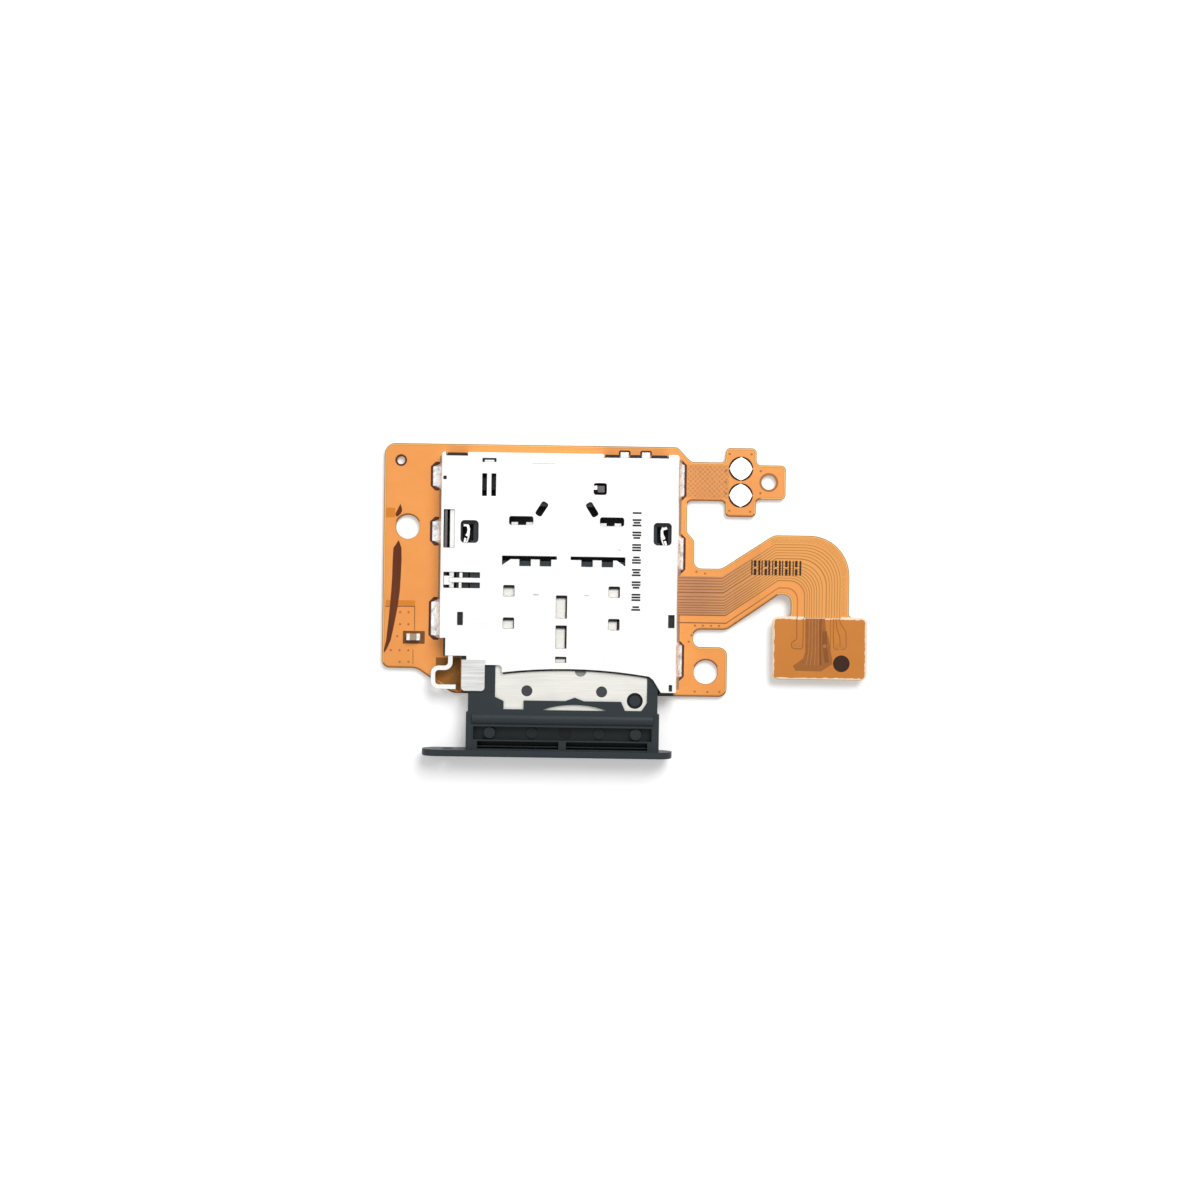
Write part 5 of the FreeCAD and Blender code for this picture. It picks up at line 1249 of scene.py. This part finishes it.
@dataclass
class Reader:
    """Shield shell, insulator base, contacts, springs, solder and the chip capacitor."""

    # The shell's tongue, painted with a darker streaked reflection.
    tongue: Box = ((-6.25, -7.75), (0.95, 1.25))
    roof: float = 1.98
    ink_depth: float = 0.004
    scuff_depths: Point = (0.003, 0.002)
    bar_line: float = 5.71
    bar_rear: float = 4.5
    bar_count: int = 24
    bar_half: Point = (0.33, 0.07)
    bar_short: float = 0.08
    bar_steps: Point = (0.2, 0.52)
    side_clip: Box = ((-8.53, 6.93), (0.13, 0.14))
    lance_width: float = 0.09
    # Heights and overlap of the painted shadow sheet under the roof, and its windows: middle, half size, rear
    # and right shadow widths.
    shadow_sheet: Point = (1.80, 1.829)
    shadow_sheet_lap: float = 0.05
    lip_span: Point = (1.58, 1.74)
    shaded_windows: tuple[tuple[Point, Point, float, float], ...] = (
        ((-3.685, -1.38), (0.41, 0.41), 0.20, 0.0),
        ((-3.685, -3.78), (0.41, 0.41), 0.20, 0.05),
        ((4.105, -1.38), (0.41, 0.41), 0.19, 0.09),
        ((4.105, -3.78), (0.41, 0.41), 0.19, 0.17),
        ((0.22, -2.53), (0.40, 0.84), 0.20, 0.10),
        ((0.22, -4.75), (0.40, 0.84), 0.22, 0.12),
        ((0.22, -6.43), (0.40, 0.21), 0.15, 0.06),
        ((-6.96, 2.96), (0.62, 0.825), 0.28, 0.0),
        ((7.79, 2.96), (0.62, 0.825), 0.28, 0.0),
    )
    lance_ends: tuple[Line, ...] = (((-5.62, 8.36), (-5.74, 8.1)), ((-4.90, 8.36), (-4.79, 8.12)))
    bright_tips: tuple[Box, ...] = (
        ((-5.26, 8.13), (0.36, 0.16)), ((2.58, 6.34), (0.16, 0.15)), ((-8.22, -0.67), (0.30, 0.33)),
        ((-7.26, -0.33), (0.11, 0.24)), ((-7.31, -1.05), (0.10, 0.24)),
    )
    dull_tips: tuple[Box, ...] = (((-8.42, 3.13), (0.10, 1.40)), ((3.03, 6.24), (0.25, 0.24)))
    latch_lips: tuple[tuple[tuple[Point, ...], float], ...] = (
        (((-7.12, 3.43), (-6.92, 3.45), (-6.79, 3.34), (-6.73, 3.10), (-6.79, 2.82), (-6.91, 2.63)), 0.19),
        (((-6.97, 2.47), (-7.04, 2.14)), 0.16),
        (((7.95, 3.45), (7.80, 3.38), (7.67, 3.37), (7.57, 3.22), (7.59, 2.96), (7.67, 2.75),
          (7.77, 2.60)), 0.19),
        (((7.80, 2.46), (7.90, 2.14)), 0.16),
    )
    scuffs: tuple[Box, ...] = (
        ((-1.25, 8.06), (0.85, 0.03)), ((-1.68, -1.64), (0.20, 0.07)), ((2.05, -1.66), (0.17, 0.05)),
        ((4.45, 1.74), (0.10, 0.05)),
    )
    # Front arc along which the painted shadow line runs.
    arc_start: Vector = Vector((-4.05, -7.44))
    arc_end: Vector = Vector((6.72, -7.60))
    arc_rise: float = 0.385
    arc_inset: float = 0.03
    arc_width: float = 0.18
    arc_steps: int = 24

    def build(self) -> None:
        """Painted shadow sheet and strips below the roof, and the plain ink bars and dark ends of cuts on it.
        """
        self._shadow_sheet()
        self._tips()
        bm = bmesh.new()
        row, (half, depth), (near, far) = self.bar_rear, self.bar_half, self.bar_steps
        for index in range(self.bar_count):
            patch(bm, (self.bar_line, row), (half - self.bar_short * (index % 4 == 2), depth), 0.02)
            row -= near if index % 3 else far
        patch(bm, *self.side_clip, 0.06)
        for line in self.lance_ends:
            stroke(bm, line, self.lance_width)
        ink = PrintFinish("roof_ink", (0.02, 0.016, 0.016), (0.05, 0.045, 0.045))
        span = (self.roof - self.ink_depth, self.roof + self.ink_depth)
        sheet(bm, "roof_bars", span, ink, Body.READER)

    def _shadow_sheet(self) -> None:
        """Painted shadows: a near-black sheet under the roof that shows along the rear and right edges of the
        small windows and along the front arc, where the roof's edges cast shade.
        """
        bm = bmesh.new()
        lap = self.shadow_sheet_lap
        for (x, y), (half, reach), rear, right in self.shaded_windows:
            patch(bm, (x, y + reach + lap - rear / 2), (half + lap, rear / 2 + lap), 0.04)
            if right:
                patch(bm, (x + half + lap - right / 2, y), (right / 2 + lap, reach + 0.02), 0.04)
        edge = []
        for step in range(self.arc_steps + 1):
            share = step / self.arc_steps
            along = self.arc_start.lerp(self.arc_end, share)
            edge.append((along.x, along.y + self.arc_rise * 4 * share * (1 - share) - self.arc_inset))
        stroke(bm, edge, self.arc_width)
        # film is the near-black paint of these painted shadows.
        film = PrintFinish("roof_shadow_sheet", (0.012, 0.01, 0.01), (0.03, 0.026, 0.026))
        sheet(bm, "roof_shadow_sheet", self.shadow_sheet, film, Body.READER)

    def _tips(self) -> None:
        """Small strips that show inside the roof's windows, the latch springs' lips and marks on the roof."""
        bright = SteelFinish("tip_steel", (0.95, 0.95, 0.945), (0.86, 0.86, 0.855), 0.25)
        dull = SteelFinish("dull_tip", (0.13, 0.115, 0.12), (0.09, 0.08, 0.085), 0.5, metallic=0.4)
        scuffed = PrintFinish("scuffed_steel", (0.52, 0.52, 0.51), (0.72, 0.72, 0.71))
        under = (self.shadow_sheet[0] - 0.01, self.shadow_sheet[1])
        wear_and_painted_reflection = (self.roof - self.scuff_depths[0], self.roof + self.scuff_depths[1])
        for name, boxes, span, finish in (("bright_tips", self.bright_tips, under, bright),
                                          ("dull_tips", self.dull_tips, under, dull),
                                          ("roof_scuffs", self.scuffs, wear_and_painted_reflection, scuffed)):
            bm = bmesh.new()
            for box in boxes:
                patch(bm, *box, 0.028)
            sheet(bm, name, span, finish, Body.READER)
        lips = bmesh.new()
        for points, width in self.latch_lips:
            stroke(lips, points, width)
        sheet(lips, "latch_lips", self.lip_span, bright, Body.READER)

    def dress(self) -> None:
        """Finishes of the reader's solids."""
        # The tongue patch is a painted darker reflection and the edges get painted shade.
        dress(["shield_shell"], SteelFinish("shell_steel", (0.98, 0.98, 0.975), (0.93, 0.93, 0.925), 0.24,
                                            Grain.ALONG_X, 10.0, patch=self.tongue,
                                            patch_tint=(0.33, 0.34, 0.31), rolled=0.08))
        dress(["insulator_base"],
              PlasticFinish("insulator_plastic", (0.012, 0.012, 0.013), (0.022, 0.022, 0.024), 0.5))
        dress(nodes_named("sim_contact"),
              SteelFinish("contact_plating", (0.95, 0.72, 0.36), (0.86, 0.62, 0.28), 0.22))
        dress(nodes_named("rear_contact", "detect_", "tray_latch"),
              SteelFinish("spring_steel", (0.93, 0.93, 0.92), (0.82, 0.82, 0.81), 0.22))
        dress(nodes_named("solder_"), SolderFinish("reflowed_tin"))
        dress(["capacitor_body"],
              PlasticFinish("capacitor_ceramic", (0.34, 0.25, 0.165), (0.44, 0.34, 0.24), 0.4))
        dress(nodes_named("capacitor_end"),
              SolderFinish("terminal_tin", (0.84, 0.82, 0.78), (0.6, 0.58, 0.55)))


@dataclass
class Connector:
    """Board connector under the ribbon's tab."""

    def dress(self) -> None:
        """Finishes of the connector's solids."""
        dress(["connector_housing"],
              PlasticFinish("connector_plastic", (0.02, 0.02, 0.022), (0.04, 0.04, 0.043), 0.45))
        dress(nodes_named("connector_contacts"),
              SteelFinish("connector_gold", (0.96, 0.74, 0.38), (0.88, 0.64, 0.3), 0.2))
        dress(nodes_named("connector_nail"), SolderFinish("nail_tin"))


@dataclass
class Ejector:
    """Push rod, lever and rivet."""

    def dress(self) -> None:
        """Finishes of the ejector's solids."""
        # The push rod's edges get painted shade in a grey tint.
        dress(["push_rod"], SteelFinish("ejector_steel", (0.95, 0.94, 0.92), (0.82, 0.81, 0.79), 0.26,
                                        Grain.ALONG_Y, 12.0, rolled=0.06, edge_shade_tint=(0.30, 0.30, 0.29)))
        dress(["eject_lever", "lever_rivet"],
              SteelFinish("blackened_steel", (0.035, 0.035, 0.037), (0.022, 0.022, 0.024), 0.4))


@dataclass
class Tray:
    """Card tray with its door and steel plate."""

    pegs: tuple[Point, ...] = ((-2.26, -8.78), (3.28, -8.78))
    peg_radius: float = 0.405
    peg_span: Point = (1.55, 1.64)
    dimple: Point = (1.70, -7.26)
    dimple_radius: float = 0.42
    dimple_span: Point = (1.636, 1.644)
    large_hole: Point = (5.76, -9.41)
    large_radii: Point = (0.40, 0.585)
    large_span: Point = (1.538, 1.546)
    round_sides: int = 32
    # Recess and slots in front of the plate, where the plastic gets painted shade.
    well: Box = ((0.38, -12.28), (6.75, 0.86))

    def build(self) -> None:
        """Moulded pegs in two of the plate's holes, the shade in the third and the floor of its dimple."""
        pegs, floor, shade = bmesh.new(), bmesh.new(), bmesh.new()
        for place in self.pegs:
            disc(pegs, place, self.peg_radius, self.round_sides)
        disc(floor, self.dimple, self.dimple_radius, self.round_sides)
        ring(shade, self.large_hole, *self.large_radii)
        moulded = PlasticFinish("peg_plastic", (0.04, 0.044, 0.045), (0.055, 0.06, 0.061), 0.45)
        dull = PrintFinish("dimple_floor", (0.24, 0.24, 0.23), (0.36, 0.36, 0.35))
        dark = PrintFinish("hole_ring", (0.006, 0.007, 0.0075), (0.012, 0.014, 0.015))
        sheet(pegs, "plate_pegs", self.peg_span, moulded, Body.TRAY)
        sheet(floor, "dimple_floor", self.dimple_span, dull, Body.TRAY)
        sheet(shade, "hole_ring", self.large_span, dark, Body.TRAY)

    def dress(self) -> None:
        """Finishes of the tray's solids."""
        dress(["tray_frame"],
              PlasticFinish("tray_plastic", (0.020, 0.027, 0.031), (0.034, 0.043, 0.048), 0.42, sheen=0.16,
                            well=self.well))
        dress(["tray_plate"], SteelFinish("plate_steel", (0.80, 0.785, 0.735), (0.70, 0.685, 0.64), 0.42,
                                          Grain.ALONG_X, 9.0, metallic=0.25))


@dataclass
class Studio:
    """Pale floor, soft light and the camera above the reader."""

    centre: Point = (2.61, -1.53)
    distance: float = 130.0
    view_width: float = 88.5
    focus_height: float = 1.0
    roll: float = 0.85
    sensor: float = 36.0
    floor_size: float = 900.0
    floor_drop: float = 0.004
    glow: Point = (0.22, 1.0)
    glow_reach: Point = (50.0, 160.0)
    surround: Point = (0.36, 1.0)

    def build(self) -> None:
        """Builds the stage."""
        self._floor()
        self._world()
        self._lamp("key_softbox", (60.0, 105.0, 165.0), 120.0, 0.345)
        self._lamp("fill_softbox", (-120.0, -60.0, 170.0), 170.0, 0.06)
        self._camera()

    def _floor(self) -> None:
        """Pale floor that keeps the shadow and shows white to the camera, all the more farther out."""
        bm = bmesh.new()
        bmesh.ops.create_grid(bm, x_segments=1, y_segments=1, size=self.floor_size * MM / 2)
        bmesh.ops.translate(bm, vec=(0, 0, -self.floor_drop * MM), verts=bm.verts)
        mesh = bpy.data.meshes.new("floor")
        bm.to_mesh(mesh)
        bm.free()
        material, desk, shader, place = begin("pale_floor")
        _, broad = grain_over(desk, place, Grain.EVEN, 0.5)
        glow = desk.ramp(desk.vector("LENGTH", place, out="Value"), *self.glow_reach, *self.glow)
        desk.wire(shader, Base_Color=desk.mix(broad, (0.93, 0.93, 0.93), (0.95, 0.95, 0.95)), Roughness=0.9,
                  Specular_IOR_Level=0.0, Emission_Color=WHITE,
                  Emission_Strength=desk.sum("MULTIPLY", desk.seen(), glow))
        mesh.materials.append(material)
        floor = bpy.data.objects.new("floor", mesh)
        bpy.context.scene.collection.objects.link(floor)

    def _world(self) -> None:
        """Even light all round, white where the camera or a bright surface sees it."""
        world = bpy.data.worlds.new("studio")
        world.use_nodes = True
        bpy.context.scene.world = world
        desk = NodeDesk(world.node_tree)
        strength = desk.ramp(desk.seen(), 0.0, 1.0, *self.surround)
        desk.wire(world.node_tree.nodes["Background"], Color=WHITE, Strength=strength)

    def _lamp(self, name: str, place: tuple[float, float, float], size: float, power: float) -> None:
        """A square soft lamp aimed at the reader.

        Args:
            name: Lamp name.
            place: Its place in millimetres.
            size: Side length in millimetres.
            power: Its power in watts.
        """
        data = bpy.data.lights.new(name, "AREA")
        data.size = size * MM
        data.energy = power
        lamp = bpy.data.objects.new(name, data)
        lamp.location = Vector(place) * MM
        lamp.rotation_euler = (-Vector(place)).to_track_quat("-Z", "Y").to_euler()
        bpy.context.scene.collection.objects.link(lamp)

    def _camera(self) -> None:
        """Camera straight above, turned as the photograph is."""
        data = bpy.data.cameras.new("camera")
        data.sensor_width = self.sensor
        data.lens = self.sensor * self.distance / self.view_width
        data.clip_start = MM
        camera = bpy.data.objects.new("camera", data)
        camera.location = Vector((*self.centre, self.distance + self.focus_height)) * MM
        camera.rotation_euler = (0.0, 0.0, math.radians(self.roll))
        bpy.context.scene.collection.objects.link(camera)
        bpy.context.scene.camera = camera


def main() -> None:
    """Builds the stage and builds and dresses every sub-assembly."""
    logging.basicConfig(level=logging.INFO, format="%(name)s: %(message)s")
    bpy.context.scene.view_settings.view_transform = "Standard"
    Studio().build()
    flex, reader, tray = FlexCircuit(), Reader(), Tray()
    for assembly in (flex, reader, tray):
        assembly.build()
    for assembly in (flex, reader, Connector(), Ejector(), tray):
        assembly.dress()


if __name__ == "__main__":
    main()
